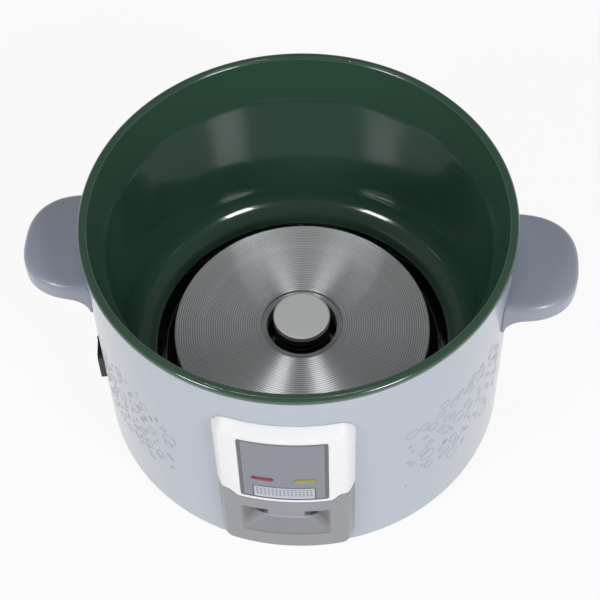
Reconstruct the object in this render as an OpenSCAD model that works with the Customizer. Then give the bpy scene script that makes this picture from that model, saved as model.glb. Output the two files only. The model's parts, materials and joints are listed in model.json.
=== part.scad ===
// Drum rice cooker body: painted drum, enamelled liner, heating plate with a magnetic
// centre thermostat, cook lever, side handles and mains inlet.
// Millimetres. +Z is up, the front panel faces -Y, the origin is the middle of the footprint.

/* [Drum] */
// Outside diameter of the painted drum
drum_d = 252; // [244:1:262]
// Height of the painted drum
drum_h = 168; // [163:1:175]
// Thickness of the drum's sheet steel
drum_t = 1; // [0.8:0.1:1.4]
// Width of the drum's turned-in bottom flange
flange_w = 12; // [11:0.5:14]
// Radius of the drum's bottom bend
drum_bend = 2.5; // [2:0.5:4]

/* [Liner] */
// Thickness of the liner's sheet steel
liner_t = 0.9; // [0.8:0.1:1.2]
// Width of the rolled rim, from its outside to the mouth
rim_w = 5.7; // [5:0.1:8]
// Depth of the lip that hides the drum's top edge
rim_lip = 2.8; // [2:0.1:4]
// How far the collar narrows below the mouth
collar_in = 8; // [5:0.5:9]
// Depth of the collar below the top of the rim
collar_h = 27; // [20:1:34]
// How far the wall narrows below the collar
wall_in = 1.8; // [1:0.2:3]
// Bend radius between the wall and the floor
floor_bend = 16; // [12:1:18]
// Height of the liner's floor above the drum's bottom edge
floor_h = 41; // [39:1:44]
// Width of the flat floor round its opening
floor_w = 3; // [1:0.5:5]

/* [Base] */
// Height of the rubber feet under the drum
foot_h = 6; // [5.5:0.5:9]
// Diameter of a foot
foot_d = 18; // [14:1:20]
// Thickness of the base plate
base_t = 1.2; // [1:0.1:1.6]
// Number of vent slots in each ring of the base
vent_count = 20; // [12:1:28]
// Length of a vent slot
vent_l = 12; // [8:1:14]

/* [Heating plate] */
// Gap between the heating plate and the liner's floor opening
plate_gap = 11.8; // [8:0.2:16]
// Height of the plate's edge above the liner's floor
plate_rise = 12.2; // [10:0.2:14]
// Thickness of the plate at its edge
plate_t = 8; // [7:0.5:9]
// Height of the plate's dome at the middle
plate_dome = 3.8; // [2:0.2:5]
// Diameter of the plate's centre hole
plate_hole_d = 44; // [43:0.5:48]
// Diameter of the tubular heater
heater_d = 6.6; // [6:0.2:7.4]
// Distance from the ring of the plate's legs in to the heater's ring
heater_in = 10.7; // [9.5:0.1:13]

/* [Thermostat] */
// Diameter of the sensor cap
cap_d = 35.8; // [34:0.2:36]
// Height of the sensor cap above the middle of the plate
cap_rise = 8.4; // [7:0.2:9]
// Travel of the sensor cap
cap_travel = 4; // [3:0.5:4.5]
// Outside diameter of the sleeve that carries the cap
sleeve_d = 29; // [28:0.5:30]
// Wall of the sleeve
sleeve_t = 1.2; // [1:0.1:1.5]
// Thickness of the ferrite disc
ferrite_t = 7; // [5:0.5:8]
// Travel of the magnet
magnet_travel = 5.1; // [4:0.1:5.5]
// Wire diameter of the outer spring
spring_wire = 1.4; // [1:0.1:1.6]
// Turns of the outer spring
spring_turns = 6; // [4:0.5:8]

/* [Cook lever] */
// Width of the lever's front tab
tab_w = 22.6; // [18:0.2:24]
// Height of the lever's front tab
tab_h = 10; // [8:0.5:11]
// Height of the tab's lower edge above the drum's bottom edge
tab_z = 42.5; // [41.5:0.5:44]
// How far the tab sits behind the panel's face
tab_back = 4; // [3.8:0.1:5]
// Thickness of the lever's sheet steel
lever_t = 2; // [1.6:0.1:2.2]
// Width of the lever arm
lever_w = 20; // [18:0.5:22]
// Distance from the middle of the drum to the lever's pivot
pivot_y = 52.4; // [48:0.2:56]
// Height of the pivot above the base plate
pivot_h = 11; // [10.5:0.5:12]
// Diameter of the pivot pin
pin_d = 3; // [2.5:0.1:3.5]

/* [Front panel] */
// How far the panel's face stands out from the drum
panel_out = 7; // [6:0.5:8]
// Half width of the panel on the drum
panel_half = 40.4; // [38:0.2:43]
// Height of the panel's lower edge above the drum's bottom edge
panel_z0 = 7; // [5:0.5:9]
// Height of the panel's upper edge above the drum's bottom edge
panel_z1 = 142; // [138:1:146]
// Width of the bevel round the panel's face
panel_bevel = 6; // [5:0.5:7]
// Wall of the panel mouldings
panel_wall = 2.6; // [2.2:0.1:3]
// Half width of the indicator window
window_half = 25.8; // [24:0.2:27]
// Height of the window's lower edge above the drum's bottom edge
window_z0 = 70; // [69:0.5:73]
// Height of the window's upper edge above the drum's bottom edge
window_z1 = 133; // [128:0.5:134]
// Width of the dark trim round the indicator plate
trim_w = 1.9; // [1.2:0.1:2.4]
// Length of a pilot lens
lens_l = 13; // [10:0.5:14]
// Height of a pilot lens
lens_h = 3.6; // [2.5:0.1:4]
// Half width of the scoop's mouth
scoop_half = 26; // [24:0.5:27]
// Height of the scoop's lower edge above the drum's bottom edge
scoop_z0 = 27.6; // [26:0.2:28]
// Height of the scoop's upper edge above the drum's bottom edge
scoop_z1 = 56.4; // [55:0.2:58]

/* [Handles] */
// How far a handle stands out from the drum
handle_out = 38.5; // [34:0.5:42]
// Half width of a handle
handle_half = 36; // [32:0.5:39]
// Height of a handle's skirt
handle_h = 13; // [12.5:0.5:18]
// Depth of a handle's top below the drum's top edge
handle_drop = 33; // [28:1:38]
// Wall of a handle
handle_wall = 3; // [2.6:0.1:3.4]
// Drop and radius of the flare at a handle's root
handle_flare = 12; // [8:0.5:13]

/* [Mains inlet] */
// Bearing of the inlet from the front, negative towards the left handle
inlet_deg = -83; // [-88:1:-74]
// Width of the inlet's flange
inlet_w = 31; // [30:0.5:34]
// Height of the inlet's flange
inlet_h = 25; // [24:0.5:28]
// Height of the inlet's middle above the drum's bottom edge
inlet_z = 41.5; // [38:0.5:50]
// How far the flange stands out from the drum
inlet_out = 3; // [2.5:0.5:6]

/* [Hidden] */

$fn = 96;
// Overlap of a cutting shape past the surface it cuts
cut = 1;
// Running clearance of sliding and turning pieces
run_gap = 0.3;
// Clearance of a pin in its bearing
pin_gap = 0.05;
// Clearance of seated pieces that don't move
seat_gap = 0.1;

// Drum and liner
drum_r = drum_d / 2;
drum_in = drum_r - drum_t;
drum_top = foot_h + drum_h;
rim_r = drum_r + seat_gap + liner_t;
rim_top = drum_top + liner_t;
rim_round = 2.2;
mouth_r = rim_r - rim_w;
mouth_round = 2;
collar_r = mouth_r - collar_in;
well_r = collar_r - wall_in;
collar_z = rim_top - collar_h;
collar_round = 3;
floor_z = foot_h + floor_h;
floor_hole_r = well_r - floor_bend - floor_w;

// Base
base_z = foot_h - base_t;
base_r = drum_r - 4;
flange_r = drum_r - flange_w;
base_screw_r = flange_r + 4;
foot_ring_r = flange_r - foot_d / 2 - 3;
foot_deg = [for (i = [0:3]) 45 + 90 * i];
base_screw_deg = [for (i = [0:3]) 22.5 + 90 * i];
bead_r = foot_ring_r - 10;
screw_r = 1.5;
screw_head_r = 3.2;
screw_head_t = 1.4;
small_head_t = 1.2;
base_bite = 5;

// Heating plate and its supports
plate_r = floor_hole_r - plate_gap;
plate_edge_z = floor_z + plate_rise;
plate_under_z = plate_edge_z - plate_t;
plate_mid_z = plate_edge_z + plate_dome;
plate_hole_r = plate_hole_d / 2;
lip_w = 3.7;
lip_drop = 1.6;
heater_r = heater_d / 2;
heater_z = plate_under_z + 0.5;
heater_rib = 2.4;
heater_leg_r = heater_r - 0.3;
shield_t = 0.8;
shield_top = floor_z - 11;
shield_under = shield_top - shield_t;
shield_r = floor_hole_r - 5;
shield_rim_z = floor_z - 6;
shield_hole_r = 21;
shield_flange = 6;
shield_ear = 12;
leg_deg = [90, 210, 330];
leg_ring_r = plate_r - 14;
leg_r = 6;
heater_ring_r = leg_ring_r - heater_in;
heater_pin = 7;
stud_r = 2;
pillar_r = 4;
terminal_deg = [76, 104];

// Keep-warm strap round the wall
warm_z = 54;
warm_h = 26;
warm_t = 1.6;
warm_open_deg = 36;

// Terminal block on the base plate
block_w = 30;
block_d = 14;
block_h = 11;
block_x = -70;
block_y = 20;
block_pitch = 9;

// Thermostat, from the cap down
cap_r = cap_d / 2;
cap_top = plate_mid_z + cap_rise;
cap_t = 1.2;
cap_skirt = 3.8;
sleeve_r = sleeve_d / 2;
sleeve_in = sleeve_r - sleeve_t;
ferrite_r = sleeve_in - seat_gap;
ferrite_z = cap_top - cap_t - ferrite_t;
cup_t = 1;
bracket_wall_r = shield_hole_r - 1;
guide_z = shield_under - 5.2;
sleeve_flange_r = sleeve_r + 2.5;
sleeve_flange_t = 1;
sleeve_z = guide_z - run_gap - sleeve_flange_t;
spring_wire_r = spring_wire / 2;
spring_r = sleeve_r + 1.4 + spring_wire_r;
magnet_t = 6;
magnet_r = sleeve_in - 3.3;
magnet_top = ferrite_z - magnet_travel - cap_travel - run_gap;
carrier_r = sleeve_in - 0.5;
carrier_t = 1.5;
carrier_z = magnet_top - magnet_t - carrier_t;
inner_wire_r = 0.5;
inner_spring_r = magnet_r + 0.5 + inner_wire_r + 0.2;
rod_r = 2;

// Cook lever
pivot_z = foot_h + pivot_h;
pin_r = pin_d / 2;
arm_top = pivot_z + 0.5;
arm_z = arm_top - lever_t;
panel_r = drum_r + panel_out;
tab_y = panel_r - tab_back;
tab_t = 3.5;
tab_low = foot_h + tab_z;
tongue_t = lever_t;
tongue_z = tab_low + tab_h - 3 - tongue_t;
web_y = drum_in - 5.5;
web_in = web_y - lever_t;
nose_r = 1.8;
nose_z = arm_top - 0.5;
collar_gap = run_gap;
lift_z = nose_z + nose_r + collar_gap;
lift_r = 5.5;
lift_t = 1.5;
fork_half = rod_r + 0.6;
fork_w = 5;
rod_low = arm_z - 3.5;
barrel_r = pin_r + pin_gap + lever_t;
ear_t = 1.6;
ear_in = lever_w / 2 + run_gap + 0.1;
ear_out = ear_in + ear_t;
ear_r = 4;
ear_foot = 6;
// Width and depth of the window under the arm
arm_window = [12, 7];
bracket_half = ear_out + 9;
bracket_t = 1.2;
bracket_fore = 21;
bracket_back = 10;

// Micro switch under the lever arm
switch_y = pivot_y + 15.6;
switch_l = 20;
switch_w = 6.4;
switch_h = 7;
plunger_r = 1.5;
plunger_travel = 1.6;
plunger_top = arm_z - run_gap;

// Front panel, as heights from the floor
panel_low = foot_h + panel_z0;
panel_high = foot_h + panel_z1;
window_low = foot_h + window_z0;
window_high = foot_h + window_z1;
scoop_low = foot_h + scoop_z0;
scoop_high = foot_h + scoop_z1;
panel_edge = 0.8;
panel_round = 9;
boss_out = 3.4;
// Start of a boss behind the drum's outside, and the depth of its screw hole in front of it
boss_back = 3;
screw_bite = 4.5;
seam_w = 30.7;
seam_low = window_low - 2.3;
seam_mid = window_low + 3;
seam_high = window_low + 5.2;
plate_depth = 0.6;
indicator_t = 1.4;
lens_u = 12.3;
lens_z = window_low + 22;
lens_proud = 0.9;
board_y = drum_in - 4.2;
board_t = 1.4;
board_half = window_half - 9;
board_z0 = lens_z - 12;
board_z1 = lens_z + 14;
scoop_back_low = tab_low - 4.9;
scoop_back_half = tab_w / 2 + 1.2;
scoop_slot_half = 18;
scoop_slot_z = scoop_back_low + 7;

// Handles
handle_top = drum_top - handle_drop;
handle_low = handle_top - handle_h;
handle_round = 4.5;
// Exponent of the plan's squared oval: 1 is an ellipse, smaller is squarer
handle_bow = 0.79;
boss_r = 4.2;
boss_x = handle_half / 2;
boss_z = handle_low + 5;
boss_l = 14;

// Mains inlet
inlet_mid = foot_h + inlet_z;
inlet_depth = 10.5;
inlet_body_w = 27;
inlet_body_h = 20;
inlet_wall = 1.5;
inlet_round = 3;
rivet_r = 0.7;

// Points of an arc in a plane, from one angle to another
function arc(cx, cy, r, a0, a1, n = 8) =
    [for (i = [0:n]) let (a = a0 + (a1 - a0) * i / n) [cx + r * cos(a), cy + r * sin(a)]];

// Places its child at a bearing from the front, with its Z outwards and its Y up
module radial(deg, r, z) {
    rotate([0, 0, deg]) translate([0, -r, z]) rotate([90, 0, 0]) children();
}

// Part of an upright ring, with its middle at the front; half_w is measured on the panel's face
module arc_plate(r0, r1, half_w, z0, z1) {
    half_deg = half_w / panel_r * 180 / PI;
    rotate([0, 0, -90 - half_deg]) rotate_extrude(angle = 2 * half_deg)
        translate([r0, z0]) square([r1 - r0, z1 - z0]);
}

// Upright tube between two heights
module tube(r_out, r_in, z0, z1) {
    translate([0, 0, z0]) difference() {
        cylinder(r = r_out, h = z1 - z0);
        translate([0, 0, -cut]) cylinder(r = r_in, h = z1 - z0 + 2 * cut);
    }
}

// Upright cylinder between two heights
module rod(r, z0, z1) {
    translate([0, 0, z0]) cylinder(r = r, h = z1 - z0);
}

// Places its children on a ring, one at each bearing from +X
module on_ring(r, degs) {
    for (a = degs) rotate([0, 0, a]) translate([r, 0, 0]) children();
}

// Flat shape with round ends, l long and w wide
module slot2d(l, w) {
    square([l - w, w], center = true);
    for (s = [-1, 1]) translate([s * (l - w) / 2, 0]) circle(d = w);
}

// Rectangle with round corners, centred
module round_rect(w, h, r) {
    square([w - 2 * r, h], center = true);
    square([w, h - 2 * r], center = true);
    for (sx = [-1, 1], sy = [-1, 1]) translate([sx * (w / 2 - r), sy * (h / 2 - r)]) circle(r);
}

// Closed skin over a stack of loops that all have as many points
module skin(loops) {
    n = len(loops[0]);
    m = len(loops);
    sides = [for (i = [0:m - 2], j = [0:n - 1], k = [0, 1])
        let (a = i * n + j, b = i * n + (j + 1) % n)
        k == 0 ? [a, a + n, b + n] : [a, b + n, b]];
    caps = [[for (j = [0:n - 1]) j], [for (j = [n - 1:-1:0]) (m - 1) * n + j]];
    polyhedron(points = [for (l = loops) each l], faces = concat(caps, sides));
}

// Round wire wound into a spring between two heights, its ends turned flat
module spring(r, wire_r, z0, z1, turns) {
    sides = 8;
    steps = 18;
    count = ceil((turns + 2) * steps);
    low = z0 + wire_r;
    high = z1 - wire_r;
    // The first and last turns lie flat, and the rest climb evenly
    function climb(t) = min(1, max(0, (t * (turns + 2) - 1) / turns));
    function height(t) = low + 2.2 * wire_r * min(1, t * (turns + 2))
        + (high - low - 4.4 * wire_r) * climb(t)
        + 2.2 * wire_r * max(0, t * (turns + 2) - turns - 1);
    skin([for (i = [0:count]) let (t = i / count, a = 360 * t * (turns + 2))
        [for (j = [0:sides - 1]) let (b = -360 * j / sides)
            [(r + wire_r * cos(b)) * cos(a), (r + wire_r * cos(b)) * sin(a),
             height(t) + wire_r * sin(b)]]]);
}

// ---------------------------------------------------------------- drum and liner

module outer_shell() {
    r = drum_r;
    b = drum_bend;
    wall = concat([[flange_r, foot_h]],
                  arc(r - b, foot_h + b, b, -90, 0),
                  [[r, drum_top], [r - drum_t, drum_top]],
                  arc(r - b, foot_h + b, b - drum_t, 0, -90),
                  [[flange_r, foot_h + drum_t]]);
    color("lightsteelblue") difference() {
        rotate_extrude($fn = 180) polygon(wall);
        // windows behind the lamps and behind the lever
        translate([0, -r, (window_low + window_high) / 2])
            cube([2 * window_half - 12, 12, window_high - window_low - 14], center = true);
        translate([0, -r, (scoop_back_low + scoop_high) / 2])
            cube([2 * scoop_slot_half + 2, 12, scoop_high - scoop_back_low + 1], center = true);
        // holes for the screws that hold the handles, the panels and the base
        for (deg = [-90, 90], s = [-1, 1])
            rotate([0, 0, deg]) translate([s * boss_x, -r + 12, boss_z])
                rotate([90, 0, 0]) cylinder(r = screw_r + seat_gap, h = 20);
        panel_screw_places() translate([0, 0, -8]) cylinder(r = screw_r + seat_gap, h = 16);
        on_ring(base_screw_r, base_screw_deg)
            rod(screw_r + seat_gap, foot_h - cut, foot_h + drum_t + cut);
        // window for the inlet's body, and the holes of its two rivets
        radial(inlet_deg, r, inlet_mid) {
            cube([inlet_body_w + 2 * seat_gap, inlet_body_h + 2 * seat_gap, 20], center = true);
            rivet_places() cylinder(r = rivet_r, h = 20, center = true);
        }
    }
}

module inner_chamber() {
    t = liner_t;
    bend_r = well_r - floor_bend;
    bend_z = floor_z + floor_bend;
    lip_z = rim_top - liner_t - rim_lip;
    inside = concat(
        [[rim_r, lip_z]],
        arc(rim_r - rim_round, rim_top - rim_round, rim_round, 0, 90, 6),
        arc(mouth_r + mouth_round, rim_top - mouth_round, mouth_round, 90, 170, 5),
        [[collar_r + 0.9, collar_z + collar_round], [collar_r + 0.2, collar_z + 0.6],
         [collar_r, collar_z - collar_round]],
        arc(bend_r, bend_z, floor_bend, 0, -90, 10),
        [[floor_hole_r, floor_z]]);
    outside = concat(
        [[floor_hole_r, floor_z - t]],
        arc(bend_r, bend_z, floor_bend + t, -90, 0, 10),
        [[collar_r + t, collar_z - collar_round], [collar_r + t + 0.2, collar_z + 0.4],
         [collar_r + t + 0.9, collar_z + collar_round]],
        arc(mouth_r + mouth_round, rim_top - mouth_round, mouth_round - t, 170, 90, 5),
        [[rim_r - t, rim_top - t], [rim_r - t, lip_z]]);
    color("darkgreen") rotate_extrude($fn = 180) polygon(concat(inside, outside));
}

// ---------------------------------------------------------------- base

module base_plate() {
    color("silver") difference() {
        union() {
            rod(base_r, base_z, foot_h);
            // pressed ring that stiffens the plate
            translate([0, 0, foot_h]) rotate_extrude() translate([bead_r, 0])
                polygon([[-2, -0.2], [-1, 1], [1, 1], [2, -0.2]]);
        }
        // two rings of vent slots
        for (ring = [0, 1]) on_ring(32 + 16 * ring,
            [for (i = [0:vent_count - 1]) if (!vent_blocked(i, ring)) 360 * (i + 0.5) / vent_count])
            translate([0, 0, base_z - cut]) linear_extrude(base_t + 2 * cut) slot2d(vent_l, 3);
        on_ring(foot_ring_r, foot_deg) rod(3 + seat_gap, base_z - cut, foot_h + cut);
        on_ring(base_screw_r, base_screw_deg)
            rod(screw_r + seat_gap, base_z - cut, foot_h + cut);
        on_ring(leg_ring_r, leg_deg) rod(stud_r + seat_gap, base_z - cut, foot_h + cut);
        bracket_screw_places() rod(screw_r + seat_gap, base_z - cut, foot_h + cut);
    }
}

// Slots that would run under the lever's bracket are left out
function vent_blocked(i, ring) =
    let (a = 360 * (i + 0.5) / vent_count, y = (32 + 16 * ring) * sin(a), x = (32 + 16 * ring) * cos(a))
    y < -16 && abs(x) < 26;

module rubber_feet() {
    color("dimgray") on_ring(foot_ring_r, foot_deg) rotate_extrude()
        polygon([[0, 0], [foot_d / 2 - 1, 0], [foot_d / 2, 1], [foot_d / 2 - 1, base_z],
                 [3, base_z], [3, foot_h], [4.4, foot_h], [3.4, foot_h + 2.2], [0, foot_h + 2.2]]);
}

// Pan-head screw along +Z, its head under z0
module screw(head_r, head_t, shank_r, z0, z1) {
    difference() {
        union() {
            rotate_extrude() polygon([[0, z0 - head_t], [head_r - 0.7, z0 - head_t],
                                      [head_r, z0 - head_t + 0.7], [head_r, z0], [0, z0]]);
            rod(shank_r, z0 - 0.2, z1);
        }
        translate([0, 0, z0 - head_t + 0.3])
            for (a = [0, 90]) rotate([0, 0, a]) cube([head_r, 0.7, 1], center = true);
    }
}

module base_screws() {
    color("gray") on_ring(base_screw_r, base_screw_deg)
        screw(screw_head_r, screw_head_t, screw_r, base_z, foot_h + drum_t + base_bite);
}

// ---------------------------------------------------------------- handles

// Plan of a handle: a squared oval from the drum to the tip, drawn inset from its edge
function handle_loop(inset, z) =
    let (hw = handle_half - inset, l = handle_out - inset, n = 20)
    concat([[-hw, -drum_r + 8, z]],
           [for (i = [n:-1:0]) let (a = 180 * i / n, c = cos(a), s = sin(a))
               [sign(c) * hw * pow(abs(c), handle_bow), -drum_r - l * pow(s, handle_bow), z]],
           [[hw, -drum_r + 8, z]]);

module handle() {
    rise = [0, 0.25, 0.5, 0.75, 1];
    outer = concat([handle_loop(0.6, handle_low), handle_loop(0, handle_low + 0.6)],
        [for (f = rise) handle_loop(handle_round * (1 - cos(90 * f)),
                                    handle_top - handle_round * (1 - sin(90 * f)))]);
    flare = concat([[drum_r - 4, handle_low - handle_flare],
                    [drum_r + 1.5, handle_low - handle_flare]],
                   arc(drum_r + 1.5 + handle_flare, handle_low - handle_flare, handle_flare, 180, 90, 6),
                   [[drum_r + 1.5 + handle_flare, handle_low + 2], [drum_r - 4, handle_low + 2]]);
    difference() {
        union() {
            skin(outer);
            intersection() {
                rotate([0, 0, -90 - 20]) rotate_extrude(angle = 40) polygon(flare);
                translate([-handle_half, -drum_r - 30, 0])
                    cube([2 * handle_half, 60, handle_top]);
            }
        }
        // hollow under the grip, with the screw bosses and two ribs left standing
        difference() {
            translate([0, 0, handle_low - handle_flare - cut])
                linear_extrude(handle_h + handle_flare - handle_wall + cut)
                    polygon([for (p = handle_loop(handle_wall, 0)) [p.x, p.y]]);
            cylinder(r = drum_r + handle_wall, h = handle_top);
            for (s = [-1, 1]) translate([s * boss_x, -drum_r, boss_z]) rotate([90, 0, 0])
                cylinder(r = boss_r, h = boss_l);
            for (s = [-1, 1]) translate([s * boss_x - 0.8, -drum_r - handle_out, boss_z])
                cube([1.6, handle_out, handle_top]);
        }
        // the drum, and the screw holes
        translate([0, 0, -cut]) cylinder(r = drum_r, h = drum_top, $fn = 180);
        for (s = [-1, 1]) translate([s * boss_x, -drum_r + 6, boss_z]) rotate([90, 0, 0])
            cylinder(r = screw_r, h = boss_l + 3);
    }
}

module left_handle() {
    color("slategray") rotate([0, 0, -90]) handle();
}

module right_handle() {
    color("slategray") rotate([0, 0, 90]) handle();
}

module handle_screws() {
    color("silver") for (deg = [-90, 90], s = [-1, 1])
        rotate([0, 0, deg]) translate([s * boss_x, 0, boss_z]) rotate([90, 0, 0])
            screw(screw_head_r, screw_head_t, screw_r - seat_gap,
                  sqrt(pow(drum_in, 2) - pow(boss_x + screw_head_r, 2)), drum_r + boss_l - 4);
}

// ---------------------------------------------------------------- front panel

// How far a point of the panel stands out from the drum: a soft bevel round a flat face
function panel_depth(u, z) =
    let (hz = (panel_high - panel_low) / 2, mz = (panel_high + panel_low) / 2, r = panel_round,
         qx = abs(u) - panel_half + r, qz = abs(z - mz) - hz + r,
         inside = r - norm([max(qx, 0), max(qz, 0)]) - min(max(qx, qz), 0),
         t = min(1, max(0, inside) / panel_bevel))
    panel_edge + (panel_out - panel_edge) * (1 - pow(1 - t, 1.5));

// Half width of the panel at a height, round at its corners
function panel_w(z) =
    let (r = panel_round, k = r - min(z - panel_low, panel_high - z))
    k <= 0 ? panel_half : panel_half - r + sqrt(max(0, r * r - k * k));

// The panel before it is cut: level loops on the drum, from its lower to its upper edge
module panel_blank() {
    edge = [0, 0.04, 0.16, 0.35, 0.6, 1];
    low = [for (e = edge) panel_low + panel_round * e];
    high = [for (i = [len(edge) - 1:-1:0]) panel_high - panel_round * edge[i]];
    across = [-1, -0.97, -0.93, -0.88, -0.84, -0.6, -0.3, 0, 0.3, 0.6, 0.84, 0.88, 0.93, 0.97, 1];
    // A point at u along the drum's surface and d out from it
    function on_drum(u, d, z) = let (a = u / drum_r * 180 / PI)
        [(drum_r + d) * sin(a), -(drum_r + d) * cos(a), z];
    // The loop that has the panel's form at z, set at the height at
    function loop(z, at) = let (w = panel_w(z))
        concat([for (f = across) on_drum(f * w, panel_depth(f * w, z), at)],
               [for (i = [len(across) - 1:-1:0]) on_drum(across[i] * w, -0.5, at)]);
    // run past both edges, so that one flat cut ends each
    difference() {
        skin(concat([loop(panel_low, panel_low - 2)], [for (z = concat(low, high)) loop(z, z)],
                    [loop(panel_high, panel_high + 2)]));
        translate([-60, -drum_r - 20, panel_low - 10]) cube([120, 60, 10]);
        translate([-60, -drum_r - 20, panel_high]) cube([120, 60, 10]);
    }
}

// Outline of the seam between the two mouldings, closed at the height z and grown by gap
module seam_side(z, gap) {
    half = panel_half + 10;
    translate([0, -drum_r + 30, 0]) rotate([90, 0, 0]) linear_extrude(60)
        polygon([[-half, z], [half, z], [half, seam_high + gap], [panel_half, seam_high + gap],
                 [seam_w, seam_mid + gap], [window_half + 0.5, seam_low + gap],
                 [-window_half - 0.5, seam_low + gap], [-seam_w, seam_mid + gap],
                 [-panel_half, seam_high + gap], [-half, seam_high + gap]]);
}

// Where screws from inside the drum hold the two mouldings
module panel_screw_places() {
    side = (panel_half + window_half) / 2 - 0.5;
    deg = side / drum_r * 180 / PI;
    for (s = [-1, 1], z = [window_high - 8, window_low + 14, window_low - 10, scoop_low - 4])
        radial(s * deg, drum_r, z) children();
}

// Bosses for those screws
module panel_bosses() {
    panel_screw_places() translate([0, 0, -boss_back]) cylinder(r = boss_out, h = boss_back + panel_out);
}

module panel_screw_holes() {
    panel_screw_places() translate([0, 0, -boss_back]) cylinder(r = screw_r, h = boss_back + screw_bite);
}

module panel_frame() {
    rest_r = panel_r - plate_depth - indicator_t - 0.05;
    color("white") difference() {
        panel_blank();
        seam_side(0, seat_gap);
        // hollow behind the face, round the bosses and the ledge that the plate rests on
        difference() {
            arc_plate(drum_r - 2, panel_r - panel_wall, panel_half - panel_bevel - 1.5,
                      seam_high + 2, panel_high - panel_bevel - 1.5);
            panel_bosses();
            arc_plate(drum_r + 1, panel_r, window_half + 2, seam_low, window_high + 2);
        }
        // recess of the indicator plate and its trim, and the opening behind them
        arc_plate(rest_r, panel_r + 2, window_half, window_low, window_high);
        arc_plate(drum_r - 1, panel_r, window_half - 3.4, window_low + 3, window_high - 3.4);
        translate([0, 0, -cut]) cylinder(r = drum_r, h = drum_top, $fn = 180);
        panel_screw_holes();
    }
}

module lower_panel() {
    color("darkgray") difference() {
        panel_blank();
        seam_side(drum_top, 0);
        // hollow behind the face, round the bosses and the lining of the scoop
        difference() {
            arc_plate(drum_r - 2, panel_r - panel_wall, panel_half - panel_bevel - 1.5,
                      panel_low + panel_bevel + 1.5, seam_low - 2.4);
            panel_bosses();
            scoop(2);
        }
        scoop(0);
        translate([0, 0, -cut]) cylinder(r = drum_r, h = drum_top, $fn = 180);
        panel_screw_holes();
    }
}

// The scoop: a mouth that narrows to a slotted back, grown by the wall of its lining
module scoop(wall) {
    front = -panel_r - 1;
    back = -drum_r + 2;
    sx = wall;
    hull() {
        translate([-scoop_half - sx, front, scoop_low - sx])
            cube([2 * (scoop_half + sx), 0.01, scoop_high - scoop_low + 2 * sx]);
        translate([0, back, 0]) rotate([90, 0, 0]) linear_extrude(0.01)
            polygon([[-scoop_back_half - sx, scoop_back_low - sx],
                     [scoop_back_half + sx, scoop_back_low - sx],
                     [scoop_slot_half + sx, scoop_slot_z], [scoop_slot_half + sx, scoop_high + sx],
                     [-scoop_slot_half - sx, scoop_high + sx], [-scoop_slot_half - sx, scoop_slot_z]]);
    }
}

module window_trim() {
    r1 = panel_r - plate_depth + 0.2;
    r0 = panel_r - plate_depth - indicator_t;
    color("dimgray") difference() {
        arc_plate(r0, r1, window_half - seat_gap, window_low + seat_gap, window_high - seat_gap);
        arc_plate(r0 - 1, r1 + 1, window_half - trim_w, window_low + 0.8, window_high - trim_w);
    }
}

module indicator_plate() {
    r1 = panel_r - plate_depth;
    color("lightslategray") difference() {
        arc_plate(r1 - indicator_t, r1, window_half - trim_w - seat_gap,
                  window_low + 0.8 + seat_gap, window_high - trim_w - seat_gap);
        for (s = [-1, 1]) lens_place(s) translate([0, 0, -6])
            linear_extrude(12) slot2d(lens_l + 2 * seat_gap, lens_h + 2 * seat_gap);
    }
}

module lens_place(s) {
    radial(s * lens_u / panel_r * 180 / PI, panel_r, lens_z) children();
}

// Pill-shaped light guide, from just before its lamp to the face of the plate
module lens(s) {
    intersection() {
        lens_place(s) translate([0, 0, -12]) linear_extrude(14) slot2d(lens_l, lens_h);
        difference() {
            rod(panel_r - plate_depth + lens_proud, 0, drum_top);
            rod(panel_r - plate_depth - indicator_t - 3, -cut, drum_top + cut);
        }
    }
}

module cook_lens() {
    color("red") lens(-1);
}

module warm_lens() {
    color("olive") lens(1);
}

module panel_screws() {
    color("silver") panel_screw_places()
        screw(screw_head_r - 0.6, small_head_t, screw_r - seat_gap, -drum_t - 0.03, screw_bite - run_gap);
}

// Circuit board on four stand-offs behind the window
module lamp_board() {
    color("green") difference() {
        union() {
            translate([-board_half, -board_y, board_z0])
                cube([2 * board_half, board_t, board_z1 - board_z0]);
            // stand-offs that end against the back of the indicator plate
            intersection() {
                for (sx = [-1, 1], z = [board_z0 + 3, board_z1 - 3])
                    translate([sx * (board_half - 3), -board_y + 0.2, z]) rotate([90, 0, 0])
                        cylinder(r = 1.6, h = 20);
                rod(panel_r - plate_depth - indicator_t, 0, drum_top);
            }
        }
        for (s = [-1, 1]) translate([s * lens_u, -board_y + 3, lens_z + 6])
            rotate([90, 0, 0]) cylinder(r = 0.8, h = 6);
    }
}

// Neon lamp lying on the board behind its lens
module lamp(s) {
    translate([s * lens_u, -board_y, lens_z]) {
        rotate([90, 0, 0]) {
            cylinder(r = 2.2, h = 4);
            translate([0, 0, 4]) sphere(r = 2.2);
        }
    }
}

module cook_lamp() {
    color("orangered") lamp(-1);
}

module warm_lamp() {
    color("gold") lamp(1);
}

// ---------------------------------------------------------------- heating plate

// Height of the plate's top at a distance from its axis
function dome(r) =
    let (e = plate_r, m = plate_hole_r + lip_w) plate_mid_z - plate_dome * pow((r - m) / (e - m), 1.6);

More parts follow.
